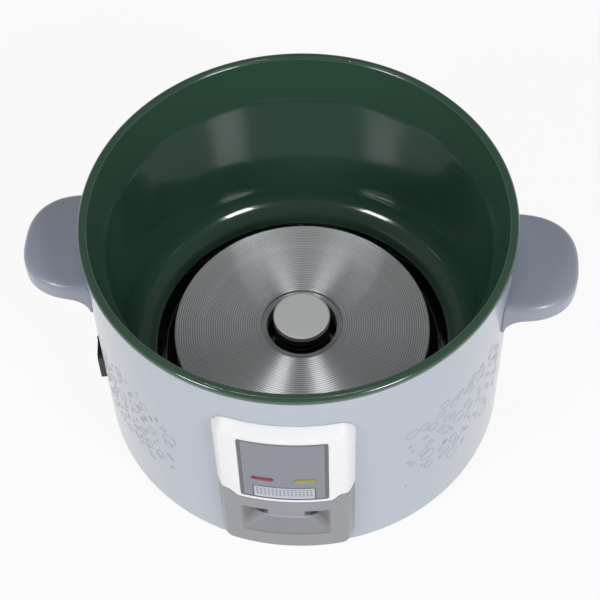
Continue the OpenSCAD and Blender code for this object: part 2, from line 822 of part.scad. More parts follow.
module heating_plate() {
    m = plate_hole_r + lip_w;
    top = [for (i = [0:8]) let (r = m + (plate_r - 1.2 - m) * i / 8) [r, dome(r)]];
    color("darkgray") difference() {
        union() {
            rotate_extrude($fn = 180) polygon(concat(
                [[plate_hole_r, plate_under_z], [plate_hole_r, plate_mid_z - lip_drop]],
                top,
                arc(plate_r - 1, plate_edge_z - 1, 1, 80, 0, 3),
                [[plate_r, plate_under_z + 1], [plate_r - 1, plate_under_z]]));
            // rib that wraps the tubular heater
            rotate_extrude() translate([heater_ring_r, heater_z]) difference() {
                circle(r = heater_r + heater_rib);
                translate([-10, 0]) square([20, 10]);
            }
            on_ring(leg_ring_r, leg_deg) rod(leg_r, shield_top, plate_under_z + cut);
            on_ring(leg_ring_r - leg_r - 3, leg_deg)
                translate([0, 0, plate_under_z - 2]) cube([10, 2.4, 4.2], center = true);
        }
        // channel of the heater, and the blind holes in the legs
        rotate_extrude() translate([heater_ring_r, heater_z]) circle(r = heater_r + seat_gap / 2);
        on_ring(leg_ring_r, leg_deg) rod(stud_r, shield_top - cut, plate_under_z + 2);
        for (a = terminal_deg) rotate([0, 0, a]) translate([heater_ring_r, 0, 0])
            rod(heater_r + seat_gap / 2, shield_top, heater_z);
    }
}

// The heater runs round the plate, and both its ends turn down through the shield
module heating_element() {
    color("silver") {
        gap = terminal_deg[1] - terminal_deg[0];
        rotate([0, 0, terminal_deg[1]]) rotate_extrude(angle = 360 - gap)
            translate([heater_ring_r, heater_z]) circle(r = heater_r);
        on_ring(heater_ring_r, terminal_deg) {
            rod(heater_leg_r, shield_under - 1.5, heater_z);
            rod(1.6, shield_under - heater_pin, shield_under - 1);
        }
    }
}

module heat_shield() {
    t = shield_t;
    color("#202020") difference() {
        union() {
            rotate_extrude($fn = 120) polygon([
                [shield_hole_r, shield_under], [shield_r - shield_flange, shield_under],
                [shield_r - 0.6, shield_rim_z - 1], [shield_r, shield_rim_z],
                [shield_r - t, shield_rim_z], [shield_r - shield_flange - t / 2, shield_top],
                [shield_hole_r, shield_top]]);
            // ears that carry the liner's floor
            on_ring(0, leg_deg) difference() {
                translate([0, -shield_ear / 2, shield_rim_z - 0.6])
                    cube([floor_hole_r + shield_flange, shield_ear, floor_z - liner_t - shield_rim_z + 0.6]);
                translate([0, -shield_ear, shield_rim_z - cut]) cube([shield_r - t, 2 * shield_ear, floor_h]);
                translate([shield_r + t, -shield_ear, shield_rim_z - cut])
                    cube([floor_hole_r, 2 * shield_ear, floor_z - liner_t - t - shield_rim_z + cut]);
            }
        }
        on_ring(leg_ring_r, leg_deg) rod(stud_r + seat_gap, shield_under - cut, shield_top + cut);
        on_ring(heater_ring_r, terminal_deg) rod(heater_r + 1, shield_under - cut, shield_top + cut);
    }
}

module support_pillars() {
    color("silver") on_ring(leg_ring_r, leg_deg)
        tube(pillar_r, stud_r + seat_gap, foot_h, shield_under);
}

module plate_screws() {
    color("gray") on_ring(leg_ring_r, leg_deg)
        screw(screw_head_r + 0.6, screw_head_t, stud_r - seat_gap / 2, base_z, plate_under_z);
}

// Cartridge in a clamp under the plate
module thermal_fuse() {
    r = 2.2;
    z = plate_under_z - r;
    color("tan") translate([0, 36, 0]) {
        translate([-9, 0, z]) rotate([0, 90, 0]) cylinder(r = r, h = 18);
        for (s = [-1, 1]) translate([s * 11.5, 0, z]) rotate([0, 90, 0])
            cylinder(r = 0.7, h = 6, center = true);
        difference() {
            translate([-3, -4.5, plate_under_z - 2 * r - 0.8]) cube([6, 9, 2 * r + 0.8]);
            translate([-4, -4.6, plate_under_z - 2 * r - 2]) cube([8, 1.7, 2 * r + 1]);
            translate([-4, 2.9, plate_under_z - 2 * r - 2]) cube([8, 1.7, 2 * r + 1]);
        }
    }
}

// Keep-warm strap round the liner
module warm_band() {
    z0 = floor_z + warm_z;
    z1 = z0 + warm_h;
    // the liner's wall is a slim cone, so the band is one too
    function liner_out(z) = let (zb = floor_z + floor_bend, zc = collar_z - collar_round)
        well_r + liner_t + (collar_r - well_r) * (z - zb) / (zc - zb);
    // open at the front, where the lamps are
    color("khaki") rotate([0, 0, -90 + warm_open_deg / 2])
        rotate_extrude(angle = 360 - warm_open_deg) polygon([
            [liner_out(z0) + seat_gap / 2, z0], [liner_out(z0) + warm_t, z0],
            [liner_out(z1) + warm_t, z1], [liner_out(z1) + seat_gap / 2, z1]]);
}

// ---------------------------------------------------------------- thermostat

module sensor_cap() {
    color("lightgray") rotate_extrude() polygon([
        [0, cap_top - cap_t], [cap_r - 1, cap_top - cap_t], [cap_r - 1, cap_top - cap_skirt],
        [cap_r - 0.5, cap_top - cap_skirt], [cap_r - 0.1, cap_top - cap_skirt + 0.8],
        [cap_r - 0.6, cap_top - 2.6], [cap_r, cap_top - 1.8], [cap_r, cap_top - 0.4],
        [cap_r - 0.4, cap_top], [0, cap_top]]);
}

// Tube that carries the cap, with a foot below the guide and a spring seat under the cap
module sensor_sleeve() {
    top = cap_top - cap_t;
    seat = cap_top - cap_skirt - 1.2;
    color("silver") {
        tube(sleeve_r, sleeve_in, sleeve_z, top);
        tube(sleeve_flange_r, sleeve_in, sleeve_z, sleeve_z + sleeve_flange_t);
        tube(spring_r + spring_wire_r, sleeve_in, seat, seat + 1);
    }
}

module ferrite_disc() {
    color("#303030") rod(ferrite_r, ferrite_z, ferrite_z + ferrite_t);
}

module outer_spring() {
    color("silver") spring(spring_r, spring_wire_r, guide_z + cup_t,
                           cap_top - cap_skirt - 1.2, spring_turns);
}

// Cup that hangs in the shield's hole, with the guide hole for the sleeve in its floor
module thermostat_bracket() {
    r = bracket_wall_r;
    t = cup_t;
    color("silver") rotate_extrude() polygon([
        [sleeve_r + run_gap, guide_z], [r, guide_z], [r, shield_top],
        [shield_hole_r + shield_flange, shield_top],
        [shield_hole_r + shield_flange, shield_top + t],
        [r - t, shield_top + t], [r - t, guide_z + t], [sleeve_r + run_gap, guide_z + t]]);
}

// Cup and rod that hold the magnet, with the collar that the lever lifts
module magnet_carrier() {
    color("silver") {
        rod(carrier_r, carrier_z, carrier_z + carrier_t);
        rod(rod_r, rod_low, carrier_z + cut);
        rod(lift_r, lift_z, lift_z + lift_t);
    }
}

module magnet() {
    color("#505050") rod(magnet_r, carrier_z + carrier_t, magnet_top);
}

module inner_spring() {
    color("silver") spring(inner_spring_r, inner_wire_r, carrier_z + carrier_t, ferrite_z, 4);
}

// ---------------------------------------------------------------- cook lever

module lever_tab() {
    socket = 1.6;
    back = tab_y - tab_t;
    color("darkgray") difference() {
        union() {
            translate([0, -tab_y, 0]) rotate([90, 0, 90]) translate([0, 0, -tab_w / 2])
                linear_extrude(tab_w)
                    polygon([[tab_t, tab_low + 1.6], [1.2, tab_low], [0.3, tab_low + 0.4],
                             [0, tab_low + 1], [0, tab_low + tab_h - 0.8],
                             [0.8, tab_low + tab_h], [tab_t, tab_low + tab_h]]);
            translate([-tab_w / 2 + 0.4, -back - 0.1, tongue_z - socket])
                cube([tab_w - 0.8, 5, tongue_t + 2 * socket]);
        }
        translate([-lever_w / 2 + 2 - seat_gap, -tab_y + 1.2, tongue_z - seat_gap])
            cube([lever_w - 4 + 2 * seat_gap, 20, tongue_t + 2 * seat_gap]);
    }
}

// One bent strip of steel: tongue, web, arm, pivot ears and lifting fork
module lever_arm() {
    color("gainsboro") difference() {
        union() {
            // tongue in the tab
            translate([-lever_w / 2 + 2, -tab_y + 1.4, tongue_z])
                cube([lever_w - 4, tab_y - web_in - 1.4, tongue_t]);
            // upright web inside the drum
            translate([-lever_w / 2, -web_y, arm_z]) cube([lever_w, lever_t, tongue_z + tongue_t - arm_z]);
            // arm to the middle
            translate([-lever_w / 2, -web_y, arm_z]) cube([lever_w, web_y - 14, lever_t]);
            translate([-fork_half - fork_w, -20, arm_z]) cube([2 * (fork_half + fork_w), 20 + 1.5, lever_t]);
            // rounded noses that lift the collar
            for (s = [-1, 1]) translate([s * (fork_half + fork_w / 2), 0, nose_z])
                rotate([0, 90, 0]) cylinder(r = nose_r, h = fork_w, center = true);
            // barrel on the pin
            translate([0, -pivot_y, pivot_z]) rotate([0, 90, 0])
                cylinder(r = barrel_r, h = lever_w, center = true);
        }
        // fork slot, pin bore and a lightening slot
        translate([-fork_half, -8, arm_z - cut]) cube([2 * fork_half, 20, lever_t + nose_r + 2 * cut]);
        translate([-lever_w, -pivot_y, pivot_z]) rotate([0, 90, 0])
            cylinder(r = pin_r + pin_gap, h = 2 * lever_w);
        translate([0, -web_y + 24, arm_z - cut]) rotate([0, 0, 90]) linear_extrude(lever_t + 2 * cut)
            slot2d(18, 7);
    }
}

module lever_pin() {
    color("silver") translate([0, -pivot_y, pivot_z]) rotate([0, 90, 0]) {
        cylinder(r = pin_r, h = 2 * ear_out + 2, center = true);
        translate([0, 0, ear_out]) cylinder(r = pin_r + 1.2, h = 1.2);
    }
}

module bracket_screw_places() {
    for (s = [-1, 1], y = [pivot_y - bracket_back / 2, pivot_y + bracket_fore - 5])
        translate([s * (ear_out + 5), -y, 0]) children();
}

// Frame on the base plate: ears for the pin, and the seat of the micro switch
module switch_bracket() {
    color("silver") difference() {
        union() {
            translate([-bracket_half, -pivot_y - bracket_fore, foot_h])
                cube([2 * bracket_half, bracket_fore + bracket_back, bracket_t]);
            for (s = [-1, 1]) translate([s * (ear_in + ear_t / 2), -pivot_y, 0])
                rotate([0, 90, 0]) linear_extrude(ear_t, center = true)
                    polygon(concat([[-foot_h, -ear_foot], [-foot_h, ear_foot]],
                                   arc(-pivot_z, 0, ear_r, 60, 300, 10)));
        }
        translate([0, -pivot_y, pivot_z]) rotate([0, 90, 0])
            cylinder(r = pin_r, h = 3 * lever_w, center = true);
        bracket_screw_places() rod(screw_r + seat_gap, foot_h - cut, foot_h + bracket_t + cut);
        // opening under the arm
        translate([-arm_window.x / 2, -pivot_y + 1, foot_h - cut])
            cube([arm_window.x, arm_window.y, bracket_t + 2 * cut]);
    }
}

module bracket_screws() {
    color("gray") bracket_screw_places()
        screw(screw_head_r - 0.4, 1.2, screw_r - seat_gap, base_z, foot_h + 4);
}

module micro_switch() {
    z0 = foot_h + bracket_t;
    color("#202020") difference() {
        union() {
            translate([-switch_l / 2, -switch_y - switch_w / 2, z0])
                cube([switch_l, switch_w, switch_seat() - z0]);
            for (x = [-7, 0, 7]) translate([x, -switch_y - switch_w / 2 - 2, z0 + 2])
                cube([3.2, 5, 0.6], center = true);
        }
        translate([0, -switch_y, z0 + 1]) cylinder(r = plunger_r + 0.2, h = 20);
        for (s = [-1, 1]) translate([s * (switch_l / 2 - 4), -switch_y, z0 + 2]) rotate([90, 0, 0])
            cylinder(r = 1.1, h = 20, center = true);
    }
}

// Top of the switch's case, low enough to leave the plunger its travel
function switch_seat() = plunger_top - plunger_travel - 0.5;

module switch_plunger() {
    color("firebrick") translate([0, -switch_y, 0]) {
        rod(plunger_r, switch_seat() - 3, plunger_top - 0.4);
        translate([0, 0, plunger_top - 0.4]) cylinder(r1 = plunger_r, r2 = plunger_r - 0.4, h = 0.4);
    }
}

// ---------------------------------------------------------------- mains

// Ceramic block on the base plate with three pairs of screws
module terminal_block() {
    w = block_w;
    d = block_d;
    h = block_h;
    color("ivory") translate([block_x, block_y, foot_h]) rotate([0, 0, 60]) difference() {
        translate([-w / 2, -d / 2, 0]) cube([w, d, h]);
        for (i = [-1, 0, 1], s = [-1, 1]) {
            translate([i * block_pitch, s * d / 4, h / 3]) cylinder(r = 2, h = h);
            translate([i * block_pitch, 0, h / 2 - 1]) rotate([90, 0, 0])
                cylinder(r = 1.5, h = 2 * d, center = true);
        }
    }
}

// Moulded inlet: a flange on the drum and a cup behind it, open outwards
module inlet_socket() {
    floor_in = -inlet_depth;
    color("#181818") radial(inlet_deg, drum_r, inlet_mid) difference() {
        union() {
            difference() {
                translate([0, 0, -3]) linear_extrude(inlet_out + 3) round_rect(inlet_w, inlet_h, inlet_round);
                // back of the flange follows the drum
                translate([0, 0, -drum_r]) rotate([90, 0, 0])
                    cylinder(r = drum_r, h = 2 * inlet_h, center = true, $fn = 180);
            }
            translate([0, 0, floor_in]) linear_extrude(inlet_depth + 1)
                round_rect(inlet_body_w, inlet_body_h, 1.5);
        }
        // mouth with its two upper corners cut off
        translate([0, 0, floor_in + inlet_wall]) linear_extrude(inlet_depth + inlet_out + 2)
            polygon(inlet_mouth());
        for (s = [-1, 0, 1]) translate([s * 7, s == 0 ? 2.5 : -2, floor_in - cut])
            linear_extrude(3 * cut + inlet_wall) square([2, 4], center = true);
        rivet_places() translate([0, 0, -5]) cylinder(r = rivet_r, h = 20);
    }
}

function inlet_mouth() =
    let (w = inlet_body_w / 2 - inlet_wall, h = inlet_body_h / 2 - inlet_wall, c = 4.5)
    [[-w, -h], [w, -h], [w, h - c], [w - c, h], [-w + c, h], [-w, h - c]];

module inlet_pins() {
    tip = inlet_out - 5.5;
    color("goldenrod") radial(inlet_deg, drum_r, inlet_mid)
        for (s = [-1, 0, 1]) translate([s * 7, s == 0 ? 2.5 : -2, -inlet_depth - 1.5])
            linear_extrude(inlet_depth + 1.5 + tip) square([2 - seat_gap, 4 - seat_gap], center = true);
}

// Two rivets that clamp the inlet's flange to the drum
module inlet_screws() {
    color("silver") radial(inlet_deg, drum_r, inlet_mid) rivet_places() {
        translate([0, 0, inlet_out]) cylinder(r = 1.1, h = 0.5);
        translate([0, 0, -drum_t - 0.6]) cylinder(r = rivet_r, h = drum_t + inlet_out + 0.8);
        translate([0, 0, -drum_t - 0.8]) cylinder(r = 1.2, h = 0.8);
    }
}

module rivet_places() {
    for (s = [-1, 1]) translate([0, s * (inlet_h / 2 - 1.3), 0]) children();
}

outer_shell();
inner_chamber();
base_plate();
rubber_feet();
base_screws();
left_handle();
right_handle();
handle_screws();
panel_frame();
lower_panel();
window_trim();
indicator_plate();
cook_lens();
warm_lens();
panel_screws();
lamp_board();
cook_lamp();
warm_lamp();
heating_plate();
heating_element();
heat_shield();
support_pillars();
plate_screws();
thermal_fuse();
warm_band();
sensor_cap();
sensor_sleeve();
ferrite_disc();
outer_spring();
thermostat_bracket();
magnet_carrier();
magnet();
inner_spring();
lever_tab();
lever_arm();
lever_pin();
switch_bracket();
bracket_screws();
micro_switch();
switch_plunger();
terminal_block();
inlet_socket();
inlet_pins();
inlet_screws();
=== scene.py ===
"""Looks of a drum rice cooker body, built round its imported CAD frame.

Lengths in the classes are millimetres in the frame of the CAD model: +Z is up, the
front panel faces -Y and the origin is the middle of the footprint. mesh_piece turns
them into metres. Finishes, lamps and the camera are in metres.
"""

from __future__ import annotations

import json
import logging
import math
from dataclasses import dataclass, field
from enum import Enum
from functools import reduce
from typing import Any, Callable

import bpy
import numpy as np
from mathutils import Matrix, Vector

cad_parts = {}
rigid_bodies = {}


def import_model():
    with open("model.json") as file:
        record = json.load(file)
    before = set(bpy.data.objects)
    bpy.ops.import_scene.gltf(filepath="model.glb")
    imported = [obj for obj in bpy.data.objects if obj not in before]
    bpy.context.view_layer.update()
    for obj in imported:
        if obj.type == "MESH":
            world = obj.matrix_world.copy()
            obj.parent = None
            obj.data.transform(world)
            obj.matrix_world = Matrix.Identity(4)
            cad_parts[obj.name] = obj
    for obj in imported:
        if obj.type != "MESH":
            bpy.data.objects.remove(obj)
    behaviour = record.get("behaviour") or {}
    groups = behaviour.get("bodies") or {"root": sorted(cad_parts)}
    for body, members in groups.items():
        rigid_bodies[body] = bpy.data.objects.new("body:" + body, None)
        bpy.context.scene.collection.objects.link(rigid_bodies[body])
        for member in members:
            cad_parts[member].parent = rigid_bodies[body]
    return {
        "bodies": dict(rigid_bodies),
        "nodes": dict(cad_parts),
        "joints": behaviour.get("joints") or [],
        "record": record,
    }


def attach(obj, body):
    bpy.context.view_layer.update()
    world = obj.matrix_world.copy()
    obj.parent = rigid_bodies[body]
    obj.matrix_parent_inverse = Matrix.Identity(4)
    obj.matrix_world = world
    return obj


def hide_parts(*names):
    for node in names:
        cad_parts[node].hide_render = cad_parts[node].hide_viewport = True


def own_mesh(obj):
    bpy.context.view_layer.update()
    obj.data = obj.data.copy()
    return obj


LOG = logging.getLogger("rice_cooker")
MM = 0.001  # a millimetre in metres
DRUM_R = 126.0  # outside radius of the drum
FACE_R = 133.0  # radius of the front panel's face
LEAST = 0.05  # smallest radius or half size of a row of points
Array = np.ndarray
Distance = Callable[[Array, Array], Array]
Point = tuple[float, float, float]
Pairs = tuple[tuple[float, float], ...]
Screen = tuple[int, int, int]
Colour = tuple[float, float, float, float]
Socket = bpy.types.NodeSocket
Piece = bpy.types.Object
Material = bpy.types.Material


class Body(Enum):
    """Rigid bodies that the new pieces ride on."""

    HOUSING = "housing"
    LEVER = "lever"
    MAGNET = "magnet_slider"
    SENSOR = "sensor"


class Side(Enum):
    """Side of the drum, as the sign of X."""

    LEFT = -1
    RIGHT = 1


# ------------------------------------------------------------------ meshes


def even_turn(count: int) -> Array:
    """Even angles round a full turn, from zero, in radians."""
    return np.linspace(0.0, 2.0 * np.pi, count, endpoint=False)


def arc(cx: float, cz: float, radius: float, start: float, end: float, steps: int) -> Array:
    """Points of an arc in a profile plane.

    Formula: (cx + radius cos a, cz + radius sin a) for even angles a.

    Args:
        cx: Distance of the arc's centre from the axis.
        cz: Height of the centre.
        radius: Radius of the arc.
        start: First angle in degrees.
        end: Last angle in degrees.
        steps: Number of points.

    Returns:
        An array of (r, z) rows.
    """
    a = np.radians(np.linspace(start, end, steps))
    return np.stack([cx + radius * np.cos(a), cz + radius * np.sin(a)], -1)


def revolved(profile: Array, segments: int) -> Array:
    """Rows of a surface of revolution about Z.

    Formula: point (i, j) = (r_i cos a_j, r_i sin a_j, z_i), with a_j even round the circle.

    Args:
        profile: (r, z) rows.
        segments: Number of points round the axis.

    Returns:
        An array of shape (profile points, segments, 3).
    """
    a = even_turn(segments)
    r, z = profile[:, :1], profile[:, 1:]
    return np.stack([r * np.cos(a), r * np.sin(a), z + 0.0 * a], -1)


def round_z(radius: Array | float, angle: Array, height: Array) -> Array:
    """Points at a distance from the Z axis, at an angle from -Y towards +X, at a height."""
    return np.stack([radius * np.sin(angle), -radius * np.cos(angle), height + 0.0 * angle], -1)


def signed_volume(points: Array, faces: list[Array]) -> float:
    """Volume of a closed mesh, negative where its faces point inwards.

    Formula: a sixth of the sum of a . (b x c) over the triangles of each face's fan.

    Args:
        points: Mesh points.
        faces: Arrays of faces with three or four corners.

    Returns:
        The volume in the cube of the points' unit.
    """
    total = 0.0
    for group in faces:
        for k in range(1, group.shape[1] - 1):
            a, b, c = points[group[:, 0]], points[group[:, k]], points[group[:, k + 1]]
            total += float(np.einsum("ij,ij->", a, np.cross(b, c))) / 6.0
    return total


def mesh_piece(name: str, points: Array, faces: list[Array], crease: float = 40.0,
               uv: Array | None = None) -> Piece:
    """Makes a mesh object at the origin from arrays.

    Args:
        name: Name of the piece.
        points: Points in millimetres.
        faces: Arrays of faces with three or four corners.
        crease: Angle in degrees past which an edge is drawn sharp.
        uv: One (u, v) row for each point, or None.

    Returns:
        The new object, linked to the scene.
    """
    if signed_volume(points, faces) < 0.0:
        faces = [group[:, ::-1] for group in faces]
    corners = np.concatenate([group.ravel() for group in faces]).astype(np.int32)
    sizes = np.concatenate([np.full(len(group), group.shape[1]) for group in faces])
    starts = np.concatenate([[0], np.cumsum(sizes)[:-1]]).astype(np.int32)
    mesh = bpy.data.meshes.new(name)
    mesh.vertices.add(len(points))
    mesh.vertices.foreach_set("co", (points * MM).astype(np.float32).ravel())
    mesh.loops.add(len(corners))
    mesh.loops.foreach_set("vertex_index", corners)
    mesh.polygons.add(len(sizes))
    mesh.polygons.foreach_set("loop_start", starts)
    mesh.update(calc_edges=True)
    mesh.validate()
    mesh.polygons.foreach_set("use_smooth", np.ones(len(mesh.polygons), bool))
    mesh.set_sharp_from_angle(angle=math.radians(crease))
    if uv is not None:
        layer = mesh.uv_layers.new(name="Print")
        layer.data.foreach_set("uv", uv[corners].astype(np.float32).ravel())
    piece = bpy.data.objects.new(name, mesh)
    bpy.context.scene.collection.objects.link(piece)
    return piece


def shell_faces(rows: int, columns: int, loop: bool) -> list[Array]:
    """Faces of a closed grid of points that wraps along its columns.

    Args:
        rows: Number of rows.
        columns: Number of points in a row.
        loop: True if the last row joins the first, False if a fan closes each end on a
            pole point that follows the grid's points.

    Returns:
        The quads, and the two fans where there are poles.
    """
    index = np.arange(rows * columns).reshape(rows, columns)
    low, high = (index, np.roll(index, -1, 0)) if loop else (index[:-1], index[1:])
    quads = np.stack([low, np.roll(low, -1, 1), np.roll(high, -1, 1), high], -1).reshape(-1, 4)
    if loop:
        return [quads]
    pole, start, end = rows * columns, index[0], index[-1]
    fans = [np.stack([np.full(columns, pole), np.roll(start, -1), start], -1),
            np.stack([np.full(columns, pole + 1), end, np.roll(end, -1)], -1)]
    return [quads, *fans]


def make_shell(name: str, grids: list[tuple[Array, bool]], crease: float) -> Piece:
    """Makes one piece of closed shells, each a grid of points that wraps along its rows.

    Args:
        name: Name of the piece.
        grids: Pairs of a grid (rows, columns, 3) and whether its last row joins the first.
            Where it doesn't, each end is closed by a fan on the middle of its row.
        crease: Angle in degrees past which an edge is drawn sharp.

    Returns:
        The new object.
    """
    points, faces, first = [], [], 0
    for grid, loop in grids:
        rows, columns = grid.shape[:2]
        own = [grid.reshape(-1, 3)]
        if not loop:
            own += [grid[0].mean(0, keepdims=True), grid[-1].mean(0, keepdims=True)]
        block = np.concatenate(own)
        made = shell_faces(rows, columns, loop)
        if signed_volume(block, made) < 0.0:
            made = [group[:, ::-1] for group in made]
        points.append(block)
        faces += [group + first for group in made]
        first += len(block)
    return mesh_piece(name, np.concatenate(points), faces, crease)


def lathe(name: str, profile: Array, segments: int, crease: float, loop: bool = True) -> Piece:
    """Makes a piece turned about Z from a profile.

    Args:
        name: Name of the piece.
        profile: (r, z) rows, closed by itself, or from axis to axis where loop is False.
        segments: Number of points round the axis.
        crease: Angle in degrees past which an edge is drawn sharp.
        loop: Whether the last point joins the first.

    Returns:
        The new object.
    """
    return make_shell(name, [(revolved(profile, segments), loop)], crease)


def rect_distance(x: Array, z: Array, half_w: float, half_h: float, radius: float) -> Array:
    """Signed distance to a rectangle with round corners, negative inside.

    Formula: the length of the positive parts of (|x| - w + r, |z| - h + r), plus their
    larger value where both are negative, less r.

    Args:
        x: Distances from its middle.
        z: Heights from its middle.
        half_w: Half width.
        half_h: Half height.
        radius: Corner radius.

    Returns:
        The distances.
    """
    qx, qz = np.abs(x) - half_w + radius, np.abs(z) - half_h + radius
    outside = np.hypot(np.maximum(qx, 0.0), np.maximum(qz, 0.0))
    return outside + np.minimum(np.maximum(qx, qz), 0.0) - radius


def ray_outline(distance: Distance, angles: Array, reach: float) -> Array:
    """Where rays from the origin leave a shape that is given by its signed distance.

    Formula: 40 halvings of the range along each ray, to where the distance is zero.

    Args:
        distance: Signed distance as a function of x and z, negative inside.
        angles: Angles of the rays in radians.
        reach: Length of ray that is surely outside.

    Returns:
        An array of (x, z) rows.
    """
    near, far = np.zeros_like(angles), np.full_like(angles, reach)
    for _ in range(40):
        mid = (near + far) / 2.0
        inside = distance(mid * np.cos(angles), mid * np.sin(angles)) < 0.0
        near, far = np.where(inside, mid, near), np.where(inside, far, mid)
    return np.stack([near * np.cos(angles), near * np.sin(angles)], -1)


def round_rect_loop(half_w: float, half_h: float, radius: float, count: int) -> Array:
    """Points round a rectangle with round corners, on even rays from its middle.

    Args:
        half_w: Half width.
        half_h: Half height.
        radius: Corner radius.
        count: Number of points.

    Returns:
        An array of (x, z) rows, counter-clockwise from +x.
    """
    return ray_outline(lambda x, z: rect_distance(x, z, half_w, half_h, radius),
                       even_turn(count), half_w + half_h)


def edge_steps(width: float, count: int) -> Array:
    """Distances that crowd towards zero, for rows beside an edge.

    Formula: width times the square of even fractions.

    Args:
        width: The last distance.
        count: Number of rows.

    Returns:
        The distances, from zero.
    """
    return width * np.linspace(0.0, 1.0, count) ** 2


def soft_block(centre: Point, half: Point, radius: float) -> Array:
    """Rows of a block with round edges.

    Formula: each row is a rectangle drawn in by an inset, with corners of the radius
    less the inset; over an edge the inset is r (1 - sin t) at r (1 - cos t) from the
    flat end, and two more rows lie on that end.

    Args:
        centre: Middle of the block.
        half: Half sizes.
        radius: Radius of the edges.

    Returns:
        A grid of points, rows from bottom to top.
    """
    t = np.linspace(0.0, np.pi / 2.0, 7)
    turn = np.concatenate([t + k * np.pi / 2.0 for k in range(4)])
    side = np.repeat([[1.0, 1.0], [-1.0, 1.0], [-1.0, -1.0], [1.0, -1.0]], len(t), axis=0)
    slim = min(half[:2])
    inset = np.concatenate([[slim - LEAST, (slim + radius) / 2.0], radius * (1.0 - np.sin(t))])
    height = np.concatenate([[0.0, 0.0], radius * (1.0 - np.cos(t))]) - half[2]
    rows = []
    for gap, z in zip(inset, height):
        corner = side * (np.array(half[:2]) - max(gap, radius))
        bend = max(radius - gap, 0.01) * np.stack([np.cos(turn), np.sin(turn)], -1)
        rows.append(np.column_stack([corner + bend, np.full(len(turn), z)]))
    low = np.stack(rows)
    return np.array(centre) + np.concatenate([low, low[::-1] * (1.0, 1.0, -1.0)])


# ------------------------------------------------------------------ finishes


class Graph:
    """Shader nodes of one material, with short calls for the nodes in use."""

    def __init__(self, name: str) -> None:
        """Starts a material with a Principled shader.

        Args:
            name: Name of the material.
        """
        self.material = bpy.data.materials.new(name)
        self.material.use_nodes = True
        self.tree = self.material.node_tree
        self.shader = self.tree.nodes["Principled BSDF"]

    def feed(self, socket: Socket, value: Any) -> None:
        """Links a socket, or sets it.

        Args:
            socket: The input.
            value: Another socket, or a plain value.
        """
        if isinstance(value, Socket):
            self.tree.links.new(value, socket)
        else:
            socket.default_value = value

    def set(self, **values: Any) -> None:
        """Links or sets sockets of the shader.

        Args:
            values: Socket or value by input name, with an underscore for a space.
        """
        for key, value in values.items():
            self.feed(self.shader.inputs[key.replace("_", " ")], value)

    def node(self, kind: str, inputs: dict[Any, Any] | None = None,
             **settings: Any) -> bpy.types.Node:
        """Adds a node.

        Args:
            kind: Type name of the node.
            inputs: Sockets to link or values to set, by input name or number.
            settings: Properties of the node.

        Returns:
            The node.
        """
        node = self.tree.nodes.new(kind)
        for key, value in settings.items():
            setattr(node, key, value)
        for key, value in (inputs or {}).items():
            self.feed(node.inputs[key], value)
        return node

    def place(self) -> Socket:
        """Object coordinates, in metres."""
        return self.node("ShaderNodeTexCoord").outputs["Object"]

    def parts(self, vector: Socket) -> list[Socket]:
        """X, Y and Z of a vector."""
        return list(self.node("ShaderNodeSeparateXYZ", {0: vector}).outputs)

    def math(self, operation: str, a: Any, b: Any = 0.0, c: Any = 0.0) -> Socket:
        """Result of a Math node."""
        return self.node("ShaderNodeMath", {0: a, 1: b, 2: c}, operation=operation).outputs[0]

    def product(self, *values: Any) -> Socket:
        """Product of two or more values."""
        return reduce(lambda a, b: self.math("MULTIPLY", a, b), values)

    def radius(self) -> Socket:
        """Distance from the Z axis in metres: the root of x x + y y."""
        x, y, _ = self.parts(self.place())
        return self.math("SQRT", self.math("ADD", self.product(x, x), self.product(y, y)))

    def wave(self, value: Socket, length: float) -> Socket:
        """Sine wave of a value, with its length in the value's unit."""
        return self.math("SINE", self.product(value, 2.0 * math.pi / length))

    def noise(self, vector: Socket, scale: float, detail: float, rough: float = 0.5) -> Socket:
        """Noise from 0 to 1, with its scale in features per metre."""
        return self.node("ShaderNodeTexNoise", {"Vector": vector, "Scale": scale, "Detail": detail,
                                                "Roughness": rough}).outputs["Fac"]

    def cells(self, vector: Socket, scale: float) -> bpy.types.Node:
        """A Voronoi node, with its scale in cells per metre."""
        return self.node("ShaderNodeTexVoronoi", {"Vector": vector, "Scale": scale})

    def ramp(self, value: Socket, stops: Pairs) -> Socket:
        """Grey of a value.

        Args:
            value: The value, from 0 to 1.
            stops: Positions and their levels, straight lines between them.

        Returns:
            The grey.
        """
        node = self.node("ShaderNodeValToRGB", {0: value})
        band = node.color_ramp
        while len(band.elements) < len(stops):
            band.elements.new(0.5)
        for element, (position, level) in zip(band.elements, stops):
            element.position = position
            element.color = (level, level, level, 1.0)
        return node.outputs["Color"]

    def rise(self, value: Socket, start: float, end: float, low: float = 0.0, high: float = 1.0,
             **settings: Any) -> Socket:
        """A value that goes from low at start to high at end, held beyond them."""
        return self.node("ShaderNodeMapRange", {"Value": value, "From Min": start, "From Max": end,
                                                "To Min": low, "To Max": high},
                         **settings).outputs["Result"]

    def blend(self, factor: Any, a: Any, b: Any) -> Socket:
        """Colour mixed from a to b."""
        return self.node("ShaderNodeMix", {0: factor, 6: a, 7: b}, data_type="RGBA").outputs[2]

    def bump(self, height: Socket, distance: float, normal: Socket | None = None) -> Socket:
        """Normal of a bump.

        Args:
            height: Height from 0 to 1.
            distance: Full height in metres.
            normal: Normal that the bump is laid on, or None for the surface's own.

        Returns:
            The new normal.
        """
        below = {} if normal is None else {"Normal": normal}
        return self.node("ShaderNodeBump",
                         {"Height": height, "Distance": distance, **below}).outputs["Normal"]


